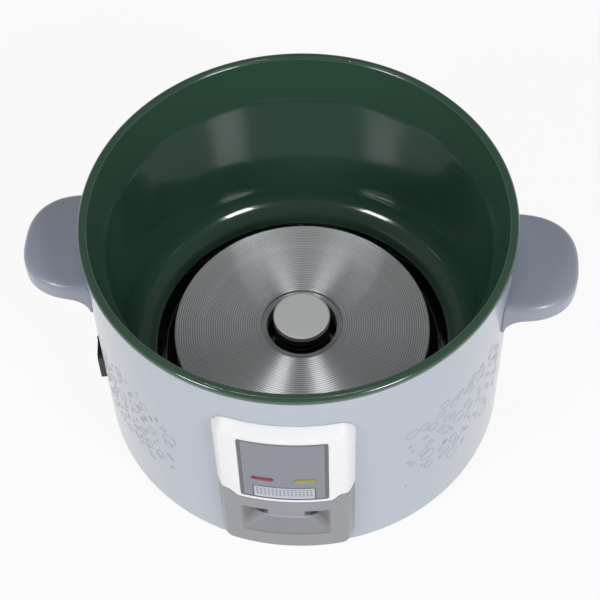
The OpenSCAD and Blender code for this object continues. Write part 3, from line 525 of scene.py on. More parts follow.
class SkyGraph(Graph):
    """Shader nodes of the surroundings."""

    def __init__(self, name: str) -> None:
        """Starts a world with a Background shader.

        Args:
            name: Name of the world.
        """
        self.world = bpy.data.worlds.new(name)
        self.world.use_nodes = True
        self.tree = self.world.node_tree
        self.shader = self.tree.nodes["Background"]


def linear(colour: Screen) -> Colour:
    """Linear colour of a screen colour.

    Formula: c / 12.92 below 0.04045, and ((c + 0.055) / 1.055) ** 2.4 above it.

    Args:
        colour: Red, green and blue from 0 to 255.

    Returns:
        Linear red, green and blue, and 1.
    """
    c = np.array(colour) / 255.0
    out = np.where(c < 0.04045, c / 12.92, ((c + 0.055) / 1.055) ** 2.4)
    return (float(out[0]), float(out[1]), float(out[2]), 1.0)


def shaded(colour: Colour, factor: float) -> Colour:
    """A colour with its light scaled by a factor."""
    return (colour[0] * factor, colour[1] * factor, colour[2] * factor, 1.0)


@dataclass(frozen=True)
class Finish:
    """A plain finish: one colour that drifts a little, and a fine grain in its relief.

    Attributes:
        name: Name of the finish and of its material.
        colour: Screen colour, 0 to 255.
        roughness: Middle roughness.
        metallic: 1 for bare metal.
        drift: How far the colour varies, as a share of it.
        patch: Size of a patch of colour in metres.
        grain: Size of a grain in metres.
        relief: Height of the grain in metres.
        coat: Weight of a clear coat.
        coat_roughness: Roughness of that coat.
    """

    name: str
    colour: Screen
    roughness: float
    metallic: float = 0.0
    drift: float = 0.05
    patch: float = 0.03
    grain: float = 0.001
    relief: float = 0.00002
    coat: float = 0.0
    coat_roughness: float = 0.05

    def build(self) -> Material:
        """Builds the material.

        Returns:
            The material.
        """
        graph = Graph(self.name)
        graph.set(Metallic=self.metallic, Coat_Weight=self.coat,
                  Coat_Roughness=self.coat_roughness)
        self.colour_nodes(graph)
        self.relief_nodes(graph)
        return graph.material

    def broad(self, graph: Graph) -> Socket:
        """Noise of the size of a patch of colour."""
        return graph.noise(graph.place(), 1.0 / self.patch, 4.0)

    def tone(self, graph: Graph, factor: Socket, times: float = 1.0) -> Socket:
        """The colour, from darker to paler by some times the drift as a factor rises."""
        base = linear(self.colour)
        return graph.blend(factor, shaded(base, 1.0 - times * self.drift),
                           shaded(base, 1.0 + times * self.drift))

    def gloss(self, graph: Graph, factor: Socket, low: float, span: float) -> Socket:
        """Roughness from a low share of its middle value up by a span, as a factor rises."""
        return graph.math("MULTIPLY_ADD", factor, span * self.roughness, low * self.roughness)

    def colour_nodes(self, graph: Graph) -> None:
        """Adds colour and roughness: here, both drift with a broad noise.

        Args:
            graph: Nodes to add to.
        """
        broad = self.broad(graph)
        graph.set(Base_Color=self.tone(graph, broad),
                  Roughness=self.gloss(graph, broad, 0.875, 0.25))

    def relief_nodes(self, graph: Graph) -> None:
        """Adds the relief: here, a fine grain as a bump.

        Args:
            graph: Nodes to add to.
        """
        fine = graph.noise(graph.place(), 1.0 / self.grain, 2.0)
        graph.set(Normal=graph.bump(fine, self.relief))


@dataclass(frozen=True)
class DrumPaint(Finish):
    """Sprayed gloss paint: an even colour with an orange-peel ripple under a clear coat.

    Attributes:
        smooth: How much finer noise there is in the ripples.
        sheet_scale: Ripples of the sheet per metre.
        sheet_relief: Height of those ripples in metres.
    """

    smooth: float = 0.3
    sheet_scale: float = 14.0
    sheet_relief: float = 0.0008

    def relief_nodes(self, graph: Graph) -> None:
        """Adds two ripples, one of the spray and one of the sheet.

        Args:
            graph: Nodes to add to.
        """
        place = graph.place()
        sheet = graph.bump(graph.noise(place, self.sheet_scale, 1.0, self.smooth),
                           self.sheet_relief)
        peel = graph.noise(place, 1.0 / self.grain, 1.0, self.smooth)
        graph.set(Normal=graph.bump(peel, self.relief, sheet))


@dataclass(frozen=True)
class PaintedShadeRecess(Finish):
    """Moulded plastic with painted shade in a recess of a face round the Z axis.

    Attributes:
        face: Radius in metres below which the recess starts.
        lip: Depth in metres at which the painted shade on its walls is deepest.
        depth: Depth in metres at which the painted shade on its floor is deepest.
        half: Half width of the recess in metres.
        low: Height in metres where the painted shade on the floor starts.
        high: Height in metres where it is in full.
        side_on: Share of X in the normal where a wall's painted shade starts, and where it is in
            full.
        painted_shade_share: Share of the colour that is left where the painted shade is deepest.
        floor_shade_share: How deep the painted shade on the floor gets, beside the walls.
    """

    face: float = 0.1325
    lip: float = 0.0015
    depth: float = 0.007
    half: float = 0.0335
    low: float = 0.040
    high: float = 0.058
    side_on: tuple[float, float] = (0.2, 0.5)
    painted_shade_share: float = 0.6
    floor_shade_share: float = 0.7

    def colour_nodes(self, graph: Graph) -> None:
        """Adds painted shade by the depth below the face, deepest on the upright walls.

        Args:
            graph: Nodes to add to.
        """
        x, _, z = graph.parts(graph.place())
        facing = graph.parts(graph.node("ShaderNodeNewGeometry").outputs["Normal"])[0]
        radius = graph.radius()
        # painted shade on the recess's upright walls, by their depth and by how far their normal
        # faces sideways
        wall = graph.product(graph.rise(radius, self.face, self.face - self.lip),
                             graph.rise(graph.math("ABSOLUTE", facing), *self.side_on),
                             graph.math("LESS_THAN", graph.math("ABSOLUTE", x), self.half))
        # painted shade on the recess floor, by its depth and rising towards the top of the scoop
        floor = graph.product(graph.rise(radius, self.face, self.face - self.depth),
                              graph.rise(z, self.low, self.high), self.floor_shade_share)
        graph.set(Base_Color=graph.blend(graph.math("MAXIMUM", wall, floor),
                                         self.tone(graph, self.broad(graph)),
                                         shaded(linear(self.colour), self.painted_shade_share)),
                  Roughness=self.roughness)


@dataclass(frozen=True)
class Enamel(Finish):
    """Fired enamel: a deep colour with fine pale specks and a glassy face.

    Attributes:
        speck: Screen colour of the specks.
        cell_scale: Cells per metre, each of which may hold a speck.
        cell_dot: Levels of a speck over the distance from its cell's point.
        some_scale: Scale of the noise that picks some of the cells.
        some: Levels of that noise.
        flow_scale: Waves of the glaze per metre.
        flow_relief: Height of those waves in metres.
    """

    speck: Screen = (60, 86, 70)
    cell_scale: float = 900.0
    cell_dot: Pairs = ((0.0, 1.0), (0.17, 0.0))
    some_scale: float = 260.0
    some: Pairs = ((0.5, 0.0), (0.62, 0.5))
    flow_scale: float = 22.0
    flow_relief: float = 0.0006

    def colour_nodes(self, graph: Graph) -> None:
        """Adds specks of a finer cell pattern over a drifting ground.

        Args:
            graph: Nodes to add to.
        """
        place, broad = graph.place(), self.broad(graph)
        dots = graph.ramp(graph.cells(place, self.cell_scale).outputs["Distance"], self.cell_dot)
        some = graph.ramp(graph.noise(place, self.some_scale, 1.0), self.some)
        graph.set(Base_Color=graph.blend(graph.product(dots, some), self.tone(graph, broad),
                                         linear(self.speck)),
                  Roughness=self.gloss(graph, broad, 0.8, 0.4))

    def relief_nodes(self, graph: Graph) -> None:
        """Adds the flow of the glaze and its fine skin.

        Args:
            graph: Nodes to add to.
        """
        place = graph.place()
        flow = graph.bump(graph.noise(place, self.flow_scale, 2.0, 0.4), self.flow_relief)
        graph.set(Normal=graph.bump(graph.noise(place, 1.0 / self.grain, 1.0), self.relief, flow))


@dataclass(frozen=True)
class TurnedMetal(Finish):
    """Metal faced on a lathe: rings of tool marks that stretch its highlights across them.

    Attributes:
        pitch: Distance between tool marks in metres.
        wide_scale: Broader rings per metre.
        fine_share: Share of the tool marks in the grey; the broader rings have the rest.
        stretch: Anisotropy of the highlight.
        groove: Distance between the grooves in metres.
        shade: How far a wave at the groove pitch darkens and lightens the colour in rings: painted
            shade and painted light of the grooves.
    """

    pitch: float = 0.0005
    wide_scale: float = 90.0
    fine_share: float = 0.6
    stretch: float = 1.0
    groove: float = 0.00145
    shade: float = 0.22

    def colour_nodes(self, graph: Graph) -> None:
        """Adds rings of slightly different grey from noise over the radius, with painted shade and
        painted light of the grooves from a wave of the radius.

        Args:
            graph: Nodes to add to.
        """
        radius = graph.radius()
        line = graph.node("ShaderNodeCombineXYZ", {0: radius}).outputs[0]
        rings = graph.noise(line, 1.0 / self.pitch, 2.0, 0.7)
        wide = graph.product(graph.noise(line, self.wide_scale, 3.0), 1.0 - self.fine_share)
        # painted shade and painted light: a wave at the groove pitch darkens and lightens the grey
        # in rings
        both = graph.math("MULTIPLY_ADD", graph.wave(radius, self.groove), self.shade,
                          graph.math("MULTIPLY_ADD", rings, self.fine_share, wide))
        graph.set(Base_Color=self.tone(graph, both, 2.0),
                  Roughness=self.gloss(graph, both, 0.85, 0.3),
                  Anisotropic=self.stretch, Anisotropic_Rotation=0.25,
                  Tangent=graph.node("ShaderNodeTangent", direction_type="RADIAL",
                                     axis="Z").outputs[0],
                  Normal=graph.bump(rings, self.relief))

    def relief_nodes(self, graph: Graph) -> None:
        """Adds nothing: the relief is made with the rings."""


@dataclass(frozen=True)
class Spangle(Finish):
    """Zinc-coated sheet: flat crystals of slightly different grey and gloss.

    Attributes:
        crystal: Size of a crystal in metres.
        bend_scale: Bends of the crystals' edges per metre.
        bend: Share of the noise in the place, which bends the edges.
    """

    crystal: float = 0.006
    bend_scale: float = 120.0
    bend: float = 0.004

    def colour_nodes(self, graph: Graph) -> None:
        """Adds one grey for each crystal, with the edges bent by a noise.

        Args:
            graph: Nodes to add to.
        """
        place = graph.place()
        wander = graph.node("ShaderNodeTexNoise", {"Vector": place, "Scale": self.bend_scale})
        bent = graph.node("ShaderNodeMix", {0: self.bend, 4: place, 5: wander.outputs["Color"]},
                          data_type="VECTOR").outputs[1]
        tone = graph.parts(graph.cells(bent, 1.0 / self.crystal).outputs["Color"])[0]
        graph.set(Base_Color=self.tone(graph, tone), Roughness=self.gloss(graph, tone, 0.8, 0.35))


@dataclass(frozen=True)
class Speckled(Finish):
    """Matt metal with a shot-blasted face: fine pale and dark specks.

    Attributes:
        steps: Levels of the fine noise.
    """

    steps: Pairs = ((0.36, 0.0), (0.5, 0.5), (0.64, 1.0))

    def colour_nodes(self, graph: Graph) -> None:
        """Adds specks from a fine noise with hard steps.

        Args:
            graph: Nodes to add to.
        """
        fine = graph.ramp(graph.noise(graph.place(), 1.0 / self.grain, 2.0, 0.8), self.steps)
        graph.set(Base_Color=self.tone(graph, fine, 3.0),
                  Roughness=graph.math("MULTIPLY_ADD", fine, 0.1, self.roughness))


@dataclass(frozen=True)
class Woven(Finish):
    """Glass cloth: two sets of threads crossing at a fine pitch.

    Attributes:
        thread: Distance between threads in metres.
        wrap: Radius in metres of the band that the cloth is laid round.
    """

    thread: float = 0.0011
    wrap: float = 0.115

    def relief_nodes(self, graph: Graph) -> None:
        """Adds the weave: the product of two waves along Z and round the axis.

        Args:
            graph: Nodes to add to.
        """
        x, y, z = graph.parts(graph.place())
        turn = graph.product(graph.math("ARCTAN2", y, x), self.wrap)
        weave = graph.product(graph.wave(turn, self.thread), graph.wave(z, self.thread))
        graph.set(Normal=graph.bump(weave, self.relief))


@dataclass(frozen=True)
class Lens(Finish):
    """Tinted clear plastic of a pilot light, with fine moulded ribs across it.

    Attributes:
        rib: Distance between ribs in metres.
        milky: Weight of the light that is scattered inside.
        reach: How far red, green and blue are scattered, in metres.
    """

    rib: float = 0.0009
    milky: float = 0.25
    reach: Point = (0.002, 0.0012, 0.0008)

    def relief_nodes(self, graph: Graph) -> None:
        """Adds the ribs as a wave along X, and the milkiness.

        Args:
            graph: Nodes to add to.
        """
        ribs = graph.wave(graph.parts(graph.place())[0], self.rib)
        graph.set(Normal=graph.bump(ribs, self.relief), Subsurface_Weight=self.milky,
                  Subsurface_Radius=self.reach, Subsurface_Scale=1.0)


@dataclass(frozen=True)
class DotPrint(Finish):
    """Pale printed field with rows of small dots and a thin outline, in the piece's own UV.

    Attributes:
        dot: Screen colour of the dots.
        line: Screen colour of the outline.
        columns: Number of dots in a row.
        rows: Number of rows of dots.
        low: Height of the lowest row, as a share of the field.
        high: Height above the highest row, as a share of the field.
        margin: Free width at each end of a row, as a share of the field.
        dot_half: Half size of a dot, as a share of its cell.
        line_u: Distance from the middle to the upright lines, as a share of the field.
        line_v: Height of the upper line, as a share of the field.
    """

    dot: Screen = (128, 132, 142)
    line: Screen = (84, 88, 98)
    columns: int = 15
    rows: int = 4
    low: float = 0.2
    high: float = 0.84
    margin: float = 0.048
    dot_half: float = 0.3
    line_u: float = 0.475
    line_v: float = 0.93

    def dots(self, graph: Graph, value: Socket, start: float, span: float, count: int) -> Socket:
        """Where a line of dots lies along one direction.

        Formula: 1 within dot_half of the middle of each of the even cells of the span.

        Args:
            graph: Nodes to add to.
            value: The field's u or v.
            start: Value at which the line starts.
            span: Its length.
            count: Number of dots.

        Returns:
            1 in a dot, otherwise 0.
        """
        share = graph.math("DIVIDE", graph.math("SUBTRACT", value, start), span)
        cell = graph.math("FRACT", graph.product(share, float(count)))
        off = graph.math("ABSOLUTE", graph.math("SUBTRACT", cell, 0.5))
        return graph.product(graph.math("LESS_THAN", off, self.dot_half),
                             graph.math("GREATER_THAN", share, 0.0),
                             graph.math("LESS_THAN", share, 1.0))

    def colour_nodes(self, graph: Graph) -> None:
        """Adds the dots, and the outline at both sides and the top.

        Args:
            graph: Nodes to add to.
        """
        u, v, _ = graph.parts(graph.node("ShaderNodeUVMap", uv_map="Print").outputs[0])
        inside = graph.product(
            self.dots(graph, u, self.margin, 1.0 - 2.0 * self.margin, self.columns),
            self.dots(graph, v, self.low, self.high - self.low, self.rows))
        beside = graph.math("ABSOLUTE", graph.math("SUBTRACT", u, 0.5))
        rim = graph.math("MAXIMUM", graph.math("GREATER_THAN", beside, self.line_u),
                         graph.math("GREATER_THAN", v, self.line_v))
        field_colour = graph.blend(inside, linear(self.colour), linear(self.dot))
        graph.set(Base_Color=graph.blend(rim, field_colour, linear(self.line)),
                  Roughness=self.roughness)


FINISHES: tuple[Finish, ...] = (
    DrumPaint("drum_paint", (180, 188, 200), 0.3, drift=0.015, patch=0.12, grain=0.0012,
              relief=0.00001, coat=0.5, coat_roughness=0.08),
    Finish("drum_print", (146, 152, 163), 0.35, drift=0.06, patch=0.02, coat=0.4),
    Enamel("enamel", (52, 82, 65), 0.15, drift=0.07, patch=0.05, grain=0.0016, relief=0.000008,
           coat=0.6, coat_roughness=0.06),
    Finish("steel", (150, 151, 153), 0.3, metallic=1.0, grain=0.0006, relief=0.00001),
    Finish("spring_steel", (84, 86, 89), 0.26, metallic=1.0, grain=0.0006, relief=0.00001),
    Spangle("zinc", (168, 171, 175), 0.38, metallic=1.0, drift=0.09, relief=0.00001),
    # the heat shield is a real sheet; its near-black colour is painted shade in the well under the
    # plate
    Finish("black_plate", (24, 25, 27), 0.45, drift=0.2, patch=0.02, grain=0.0008),
    TurnedMetal("cast_alu", (222, 224, 228), 0.27, metallic=0.42, drift=0.08, relief=0.00001),
    Speckled("cap_alu", (252, 252, 254), 0.42, metallic=0.9, drift=0.05, grain=0.0006,
             relief=0.00004),
    Finish("handle_plastic", (152, 158, 173), 0.3, drift=0.02, patch=0.04, grain=0.0009,
           relief=0.000008, coat=0.25, coat_roughness=0.1),
    Finish("white_plastic", (244, 244, 246), 0.42, drift=0.008, patch=0.03, grain=0.0009,
           relief=0.000005),
    # grey plastic of the lower panel, with painted shade in its scoop
    PaintedShadeRecess("grey_plastic", (146, 147, 152), 0.3, drift=0.02, patch=0.03, grain=0.0006,
             relief=0.00001),
    Finish("tab_plastic", (148, 145, 153), 0.32, drift=0.02, patch=0.02, grain=0.0006,
           relief=0.00001),
    Finish("dark_trim", (98, 101, 104), 0.4, drift=0.03, patch=0.02, grain=0.0006),
    Finish("plate_grey", (124, 128, 138), 0.3, drift=0.02, patch=0.05, grain=0.0008,
           relief=0.000004, coat=0.3),
    DotPrint("label_print", (190, 195, 206), 0.35, relief=0.000004),
    Lens("red_lens", (128, 38, 50), 0.18, drift=0.1, patch=0.004, relief=0.00004, coat=0.5),
    Lens("yellow_lens", (148, 146, 72), 0.18, drift=0.1, patch=0.004, relief=0.00004, coat=0.5),
    Finish("glass_lamp", (214, 170, 140), 0.08, drift=0.1, patch=0.002, coat=1.0),
    Finish("board", (42, 82, 50), 0.5, drift=0.15, patch=0.004, grain=0.0004),
    Finish("black_plastic", (24, 24, 27), 0.4, drift=0.15, patch=0.01, grain=0.0006,
           relief=0.00003),
    Finish("rubber", (52, 52, 54), 0.75, drift=0.1, patch=0.006, grain=0.0007, relief=0.00006),
    Finish("ceramic", (226, 222, 210), 0.5, drift=0.05, patch=0.004, grain=0.0007,
           relief=0.00004),
    Finish("ferrite", (58, 58, 62), 0.45, metallic=0.4, drift=0.2, patch=0.003, grain=0.0005,
           relief=0.00004),
    Finish("brass", (190, 160, 96), 0.28, metallic=1.0, drift=0.06, patch=0.004),
    Woven("cloth", (206, 200, 182), 0.85, drift=0.08, patch=0.008, relief=0.0002),
    Finish("plunger_red", (150, 40, 38), 0.45, drift=0.06, patch=0.002),
)


class Finishes:
    """Materials of the finishes, each built the first time it is asked for."""

    def __init__(self) -> None:
        """Starts with none built."""
        self.made: dict[str, Material] = {}

    def get(self, name: str) -> Material:
        """The material of a finish.

        Args:
            name: Name of the finish.

        Returns:
            Its material.
        """
        if name not in self.made:
            self.made[name] = next(f for f in FINISHES if f.name == name).build()
        return self.made[name]


@dataclass
class SubAssembly:
    """Base of a sub-assembly: it adds pieces of its own and dresses CAD nodes.

    Attributes:
        PLAIN: Nodes that keep their CAD mesh, by the name of their finish.
        frame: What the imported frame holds.
        finishes: The finishes in use.
    """

    PLAIN = {}

    frame: dict[str, Any]
    finishes: Finishes

    def build(self) -> None:
        """Adds the new pieces and gives the plain nodes their finish."""
        self.add_pieces()
        for finish, nodes in self.PLAIN.items():
            for name in nodes:
                for holder in self.frame["nodes"][name].material_slots:
                    holder.material = self.finishes.get(finish)
                LOG.info("node %s: %s", name, finish)

    def add_pieces(self) -> None:
        """Adds the new pieces: here, none."""

    def add(self, piece: Piece, finish: str, slot: str, body: Body = Body.HOUSING,
            replaces: tuple[str, ...] = ()) -> Piece:
        """Finishes a new piece and ties it to its body.

        Args:
            piece: The new object.
            finish: Name of its finish.
            slot: Material slot of the record that it belongs to; not used.
            body: Body that it rides on.
            replaces: CAD nodes that it stands for.

        Returns:
            The same object.
        """
        piece.data.materials.append(self.finishes.get(finish))
        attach(piece, body.value)
        if replaces:
            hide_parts(*replaces)
        LOG.info("piece %s: %d faces, rides on %s", piece.name, len(piece.data.polygons),
                 body.value)
        return piece


# ------------------------------------------------------------------ drum and liner


@dataclass
class Drum(SubAssembly):
    """Painted drum with its printed side fields.

    Attributes:
        radius: Outside radius.
        print_low: How far the ink's underside is out from the drum.
        print_t: How far its face is.
        fields: Nearest and farthest bearing (deg), lowest and highest motif of each side.
        grid: Motifs along and up a field.
        middle: Place on the grid round which the field is full.
        reach: Distances on the grid over which it thins out.
        fullness: Chance of a motif at the middle, before it is held to the most.
        most: Highest chance of a motif.
        slant: Shares of a step by which odd rows are shifted, and columns climb.
        loose: How far a motif may lie off its place, in degrees and in millimetres.
        tilts: Least and greatest tilt (rad).
        lengths: Half lengths of motifs and their shares.
        slims: Widths of motifs, as shares of the length, and their shares.
        line: Line width of a ring.
        solid: Line width past every motif's size, which fills it.
        solid_length: Half length past which each motif is a ring.
        ring_share: Share of rings among the shorter ones.
        seed: Seed of the draws, to which the sign of the side is added.
    """

    PLAIN = {"drum_paint": ("outer_shell",), "zinc": ("base_plate", "base_screws"),
             "rubber": ("rubber_feet",)}

    radius: float = DRUM_R
    print_low: float = 0.01
    print_t: float = 0.05
    fields: dict[Side, tuple[float, float, float, float]] = field(default_factory=lambda: {
        Side.LEFT: (33.0, 71.0, 50.0, 120.0), Side.RIGHT: (34.0, 75.0, 52.0, 122.0)})
    grid: tuple[int, int] = (8, 10)
    middle: tuple[float, float] = (4.0, 4.6)
    reach: tuple[float, float] = (5.0, 6.0)
    fullness: float = 1.35
    most: float = 0.95
    slant: tuple[float, float] = (0.3, 0.12)
    loose: tuple[float, float] = (0.8, 2.0)
    tilts: tuple[float, float] = (0.2, 1.3)
    lengths: Pairs = ((1.3, 0.3), (2.2, 0.3), (3.4, 0.25), (4.8, 0.15))
    slims: Pairs = ((0.5, 0.3), (0.7, 0.3), (1.0, 0.4))
    line: float = 0.42
    solid: float = 9.0
    solid_length: float = 3.0
    ring_share: float = 0.55
    seed: int = 11

    def add_pieces(self) -> None:
        """Prints the two side fields."""
        for side in Side:
            self.add(self.print_field(side), "drum_print", "drum_paint")

    def motifs(self, side: Side) -> Array:
        """Centres and sizes of the field's motifs: grains and rings on a loose slanted grid.

        Args:
            side: Side of the drum.

        Returns:
            Rows of bearing (deg), height, half length, half width, tilt (rad), line width.
        """
        rng = np.random.default_rng(self.seed + side.value)
        columns, rows = self.grid
        i, j = np.meshgrid(np.arange(columns), np.arange(rows), indexing="ij")
        near, far, low, high = self.fields[side]
        shift, climb = self.slant
        loose_turn, loose_z = self.loose
        bearing = (near + (far - near) * (i + shift * (j % 2)) / columns
                   + rng.uniform(-loose_turn, loose_turn, i.shape))
        height = (low + (high - low) * (j + climb * i) / rows
                  + rng.uniform(-loose_z, loose_z, i.shape))
        off = (((i - self.middle[0]) / self.reach[0]) ** 2
               + ((j - self.middle[1]) / self.reach[1]) ** 2)
        keep = rng.random(i.shape) < np.clip(self.fullness - off, 0.0, self.most)
        (lengths, length_shares), (slims, slim_shares) = zip(*self.lengths), zip(*self.slims)
        length = rng.choice(lengths, i.shape, p=length_shares)
        slim = rng.choice(slims, i.shape, p=slim_shares)
        tilt = rng.uniform(*self.tilts, i.shape)
        is_ring = (rng.random(i.shape) < self.ring_share) | (length > self.solid_length)
        line = np.where(is_ring, self.line, self.solid)
        return np.stack([bearing, height, length, length * slim, tilt, line], -1)[keep]

    def print_field(self, side: Side) -> Piece:
        """Ink of one side field.

        Formula: each motif is an ellipse turned by its tilt, mapped to the drum by arc
        length, as a ring between its outline and the outline smaller by the line width.

        Args:
            side: Side of the drum.

        Returns:
            The piece.
        """
        turn = even_turn(40)
        grids = []
        for bearing, height, length, width, tilt, line in self.motifs(side):
            rows = []
            for out, inset in ((self.print_low, 0.0), (self.print_t, 0.0),
                               (self.print_t, line), (self.print_low, line)):
                x = max(length - inset, LEAST) * np.cos(turn)
                z = max(width - inset, LEAST) * np.sin(turn)
                u = x * math.cos(tilt) - z * math.sin(tilt)
                v = x * math.sin(tilt) + z * math.cos(tilt)
                angle = side.value * (math.radians(bearing) + u / self.radius)
                rows.append(round_z(self.radius + out, angle, height + v))
            grids.append((np.stack(rows), True))
        return make_shell(f"side_print_{side.name.lower()}", grids, 30.0)


@dataclass
class Liner(SubAssembly):
    """Enamelled liner: rolled rim, tapered collar, wall and rounded floor edge.

    Attributes:
        rim_r: Outside radius of the rolled rim.
        rim_top: Height of the rim.
        rim_round: Radius of its outer roll.
        lip_z: Height of the lip that hangs outside the drum.
        mouth_r: Radius of the mouth inside the rim.
        mouth_round: Radius of its inner roll.
        mouth_turn: Angle (deg) at which the inner roll runs into the collar.
        collar: Three points (r, z) of the crease under the collar.
        well_r: Radius at the foot of the wall.
        floor_z: Height of the floor.
        bend: Radius of the bend between wall and floor.
        hole_r: Radius of the hole in the floor.
        sheet: Thickness of the sheet.
    """

    rim_r: float = 127.0
    rim_top: float = 174.9
    rim_round: float = 2.2
    lip_z: float = 171.2
    mouth_r: float = 121.3
    mouth_round: float = 2.0
    mouth_turn: float = 165.0
    collar: Pairs = ((114.2, 150.9), (113.5, 148.5), (113.3, 144.9))
    well_r: float = 111.5
    floor_z: float = 47.0
    bend: float = 16.0
    hole_r: float = 92.5
    sheet: float = 0.9

    def add_pieces(self) -> None:
        """Adds the liner."""
        self.add(lathe("liner_enamel", self.profile(), 384, crease=60.0), "enamel", "enamel",
                 replaces=("inner_chamber",))

    def profile(self) -> Array:
        """Closed section of the sheet, from the lip over the rim and down to the floor hole.

        Formula: arcs and short cones for the visible face, and the same curve moved
        back by the sheet for the hidden one. The crease under the collar is a quadratic
        curve through its three points.

        Returns:
            (r, z) rows.
        """
        t = self.sheet
        rim = self.rim_r - self.rim_round, self.rim_top - self.rim_round
        mouth = self.mouth_r + self.mouth_round, self.rim_top - self.mouth_round
        bend = self.well_r - self.bend, self.floor_z + self.bend
        s = np.linspace(0.0, 1.0, 9)[:, None]
        top, mid, low = (np.array(p) for p in self.collar)
        face = np.concatenate([
            arc(self.rim_r - 0.3, self.lip_z + 0.3, 0.3, -90.0, 0.0, 4),
            arc(*rim, self.rim_round, 0.0, 90.0, 12),
            arc(*mouth, self.mouth_round, 90.0, self.mouth_turn, 10),
            (1 - s) ** 2 * top + 2 * s * (1 - s) * mid + s ** 2 * low,
            np.linspace(low, (self.well_r, bend[1]), 12)[1:-1],
            arc(*bend, self.bend, 0.0, -90.0, 28),
            arc(self.hole_r + 0.35, self.floor_z - 0.35, 0.35, 90.0, 180.0, 4)])
        back = np.concatenate([
            [[self.hole_r, self.floor_z - t]],
            arc(*bend, self.bend + t, -90.0, 0.0, 20),
            [[low[0] + t, low[1]], [mid[0] + t, mid[1] - 0.2], [top[0] + t, top[1]]],
            arc(*mouth, self.mouth_round - t, self.mouth_turn, 90.0, 6),
            arc(*rim, self.rim_round - t, 90.0, 0.0, 6),
            [[self.rim_r - t, self.lip_z + 0.1]]])
        return np.concatenate([face, back])


# ------------------------------------------------------------------ heating plate


@dataclass
class HotPlate(SubAssembly):
    """Cast heating plate with turned grooves on its dome, and what hangs under it.

    Attributes:
        radius: Outside radius.
        under_z: Height of the underside.
        mid_z: Height of the dome at the lip of the hole.
        dome: How far the dome falls to the edge.
        fall: Exponent of that fall.
        hole_r: Radius of the hole.
        lip_r: Radius of the lip round the hole.
        lip_drop: How far the lip lies below the dome.
        lip: Points of the lip, in from its radius and up from its height.
        plain: Widths without grooves, at the lip and at the edge.
        groove_pitch: Distance between grooves.
        groove_depth: Their depth.
        ring_r: Radius of the heater's ring.
        rib_r: Radius of the rib that holds it.
        rib_z: Height of the rib's middle.
        leg_turns: Bearings of the legs from +X (deg).
        leg_r: Radius of a leg.
        leg_ring_r: Radius of the ring of legs.
        leg_low: Height of their feet.
    """

    # the heat shield's near-black finish is painted shade under the plate
    PLAIN = {"black_plate": ("heat_shield",), "steel": ("heating_element",),
             "zinc": ("support_pillars", "plate_screws"), "ceramic": ("thermal_fuse",),
             "cloth": ("warm_band",)}

    radius: float = 80.7
    under_z: float = 51.2
    mid_z: float = 63.0
    dome: float = 3.8
    fall: float = 1.6
    hole_r: float = 22.0
    lip_r: float = 25.7
    lip_drop: float = 1.6
    lip: Pairs = ((1.1, 0.75), (0.9, 0.2), (0.35, 0.2))
    plain: tuple[float, float] = (1.2, 1.6)
    groove_pitch: float = 1.45
    groove_depth: float = 0.052
    ring_r: float = 56.0
    rib_r: float = 5.7
    rib_z: float = 51.7
    leg_turns: Point = (90.0, 210.0, 330.0)
    leg_r: float = 6.0
    leg_ring_r: float = 66.7
    leg_low: float = 36.0

    def add_pieces(self) -> None:
        """Adds the plate with its legs."""
        grids = [(revolved(self.profile(), 320), True)]
        grids += [(self.leg(math.radians(turn)), False) for turn in self.leg_turns]
        self.add(make_shell("turned_plate", grids, 50.0), "cast_alu", "cast_alu",
                 replaces=("heating_plate",))

    def face_z(self, r: Array) -> Array:
        """Height of the dome.

        Formula: mid_z - dome ((r - lip_r) / (radius - lip_r)) ** fall, less the grooves,
        which are a raised cosine of the radius.

        Args:
            r: Radii.

        Returns:
            The heights.
        """
        start, end = self.lip_r + self.plain[0], self.radius - self.plain[1]
        share = (r - self.lip_r) / (self.radius - self.lip_r)
        wave = 0.5 - 0.5 * np.cos(2.0 * np.pi * (r - start) / self.groove_pitch)
        groove = self.groove_depth * wave * ((r > start) & (r < end))
        return self.mid_z - self.dome * np.clip(share, 0.0, 1.0) ** self.fall - groove

    def profile(self) -> Array:
        """Closed section of the plate, from the hole outwards and back underneath.

        Returns:
            (r, z) rows.
        """
        r = np.arange(self.lip_r + self.plain[0], self.radius - self.plain[1],
                      self.groove_pitch / 5.0)
        lip_z = self.mid_z - self.lip_drop
        edge_z = float(self.face_z(np.array([self.radius - 1.5]))[0])
        return np.concatenate([
            arc(self.hole_r + 0.4, lip_z - 0.4, 0.4, 180.0, 100.0, 4),
            [[self.lip_r - inset, lip_z + up] for inset, up in self.lip],
            [[self.lip_r - 0.15, self.mid_z - 0.25], [self.lip_r + 0.2, self.mid_z]],
            np.stack([r, self.face_z(r)], -1),
            arc(self.radius - 1.0, edge_z - 1.0, 1.0, 85.0, 0.0, 6),
            [[self.radius, self.under_z + 1.0], [self.radius - 1.0, self.under_z]],
            arc(self.ring_r, self.rib_z, self.rib_r, -5.0, -175.0, 14),
            [[self.hole_r, self.under_z]]])

    def leg(self, angle: float) -> Array:
        """Rows of one leg, a cylinder on the leg ring.

        Args:
            angle: Bearing of the leg from +X in radians.

        Returns:
            A grid of points.
        """
        section = np.array([[self.leg_r - 0.4, self.leg_low], [self.leg_r, self.leg_low + 0.4],
                            [self.leg_r, self.under_z - 0.6],
                            [self.leg_r + 0.8, self.under_z + 0.3]])
        return revolved(section, 40) + self.leg_ring_r * np.array(
            [math.cos(angle), math.sin(angle), 0.0])


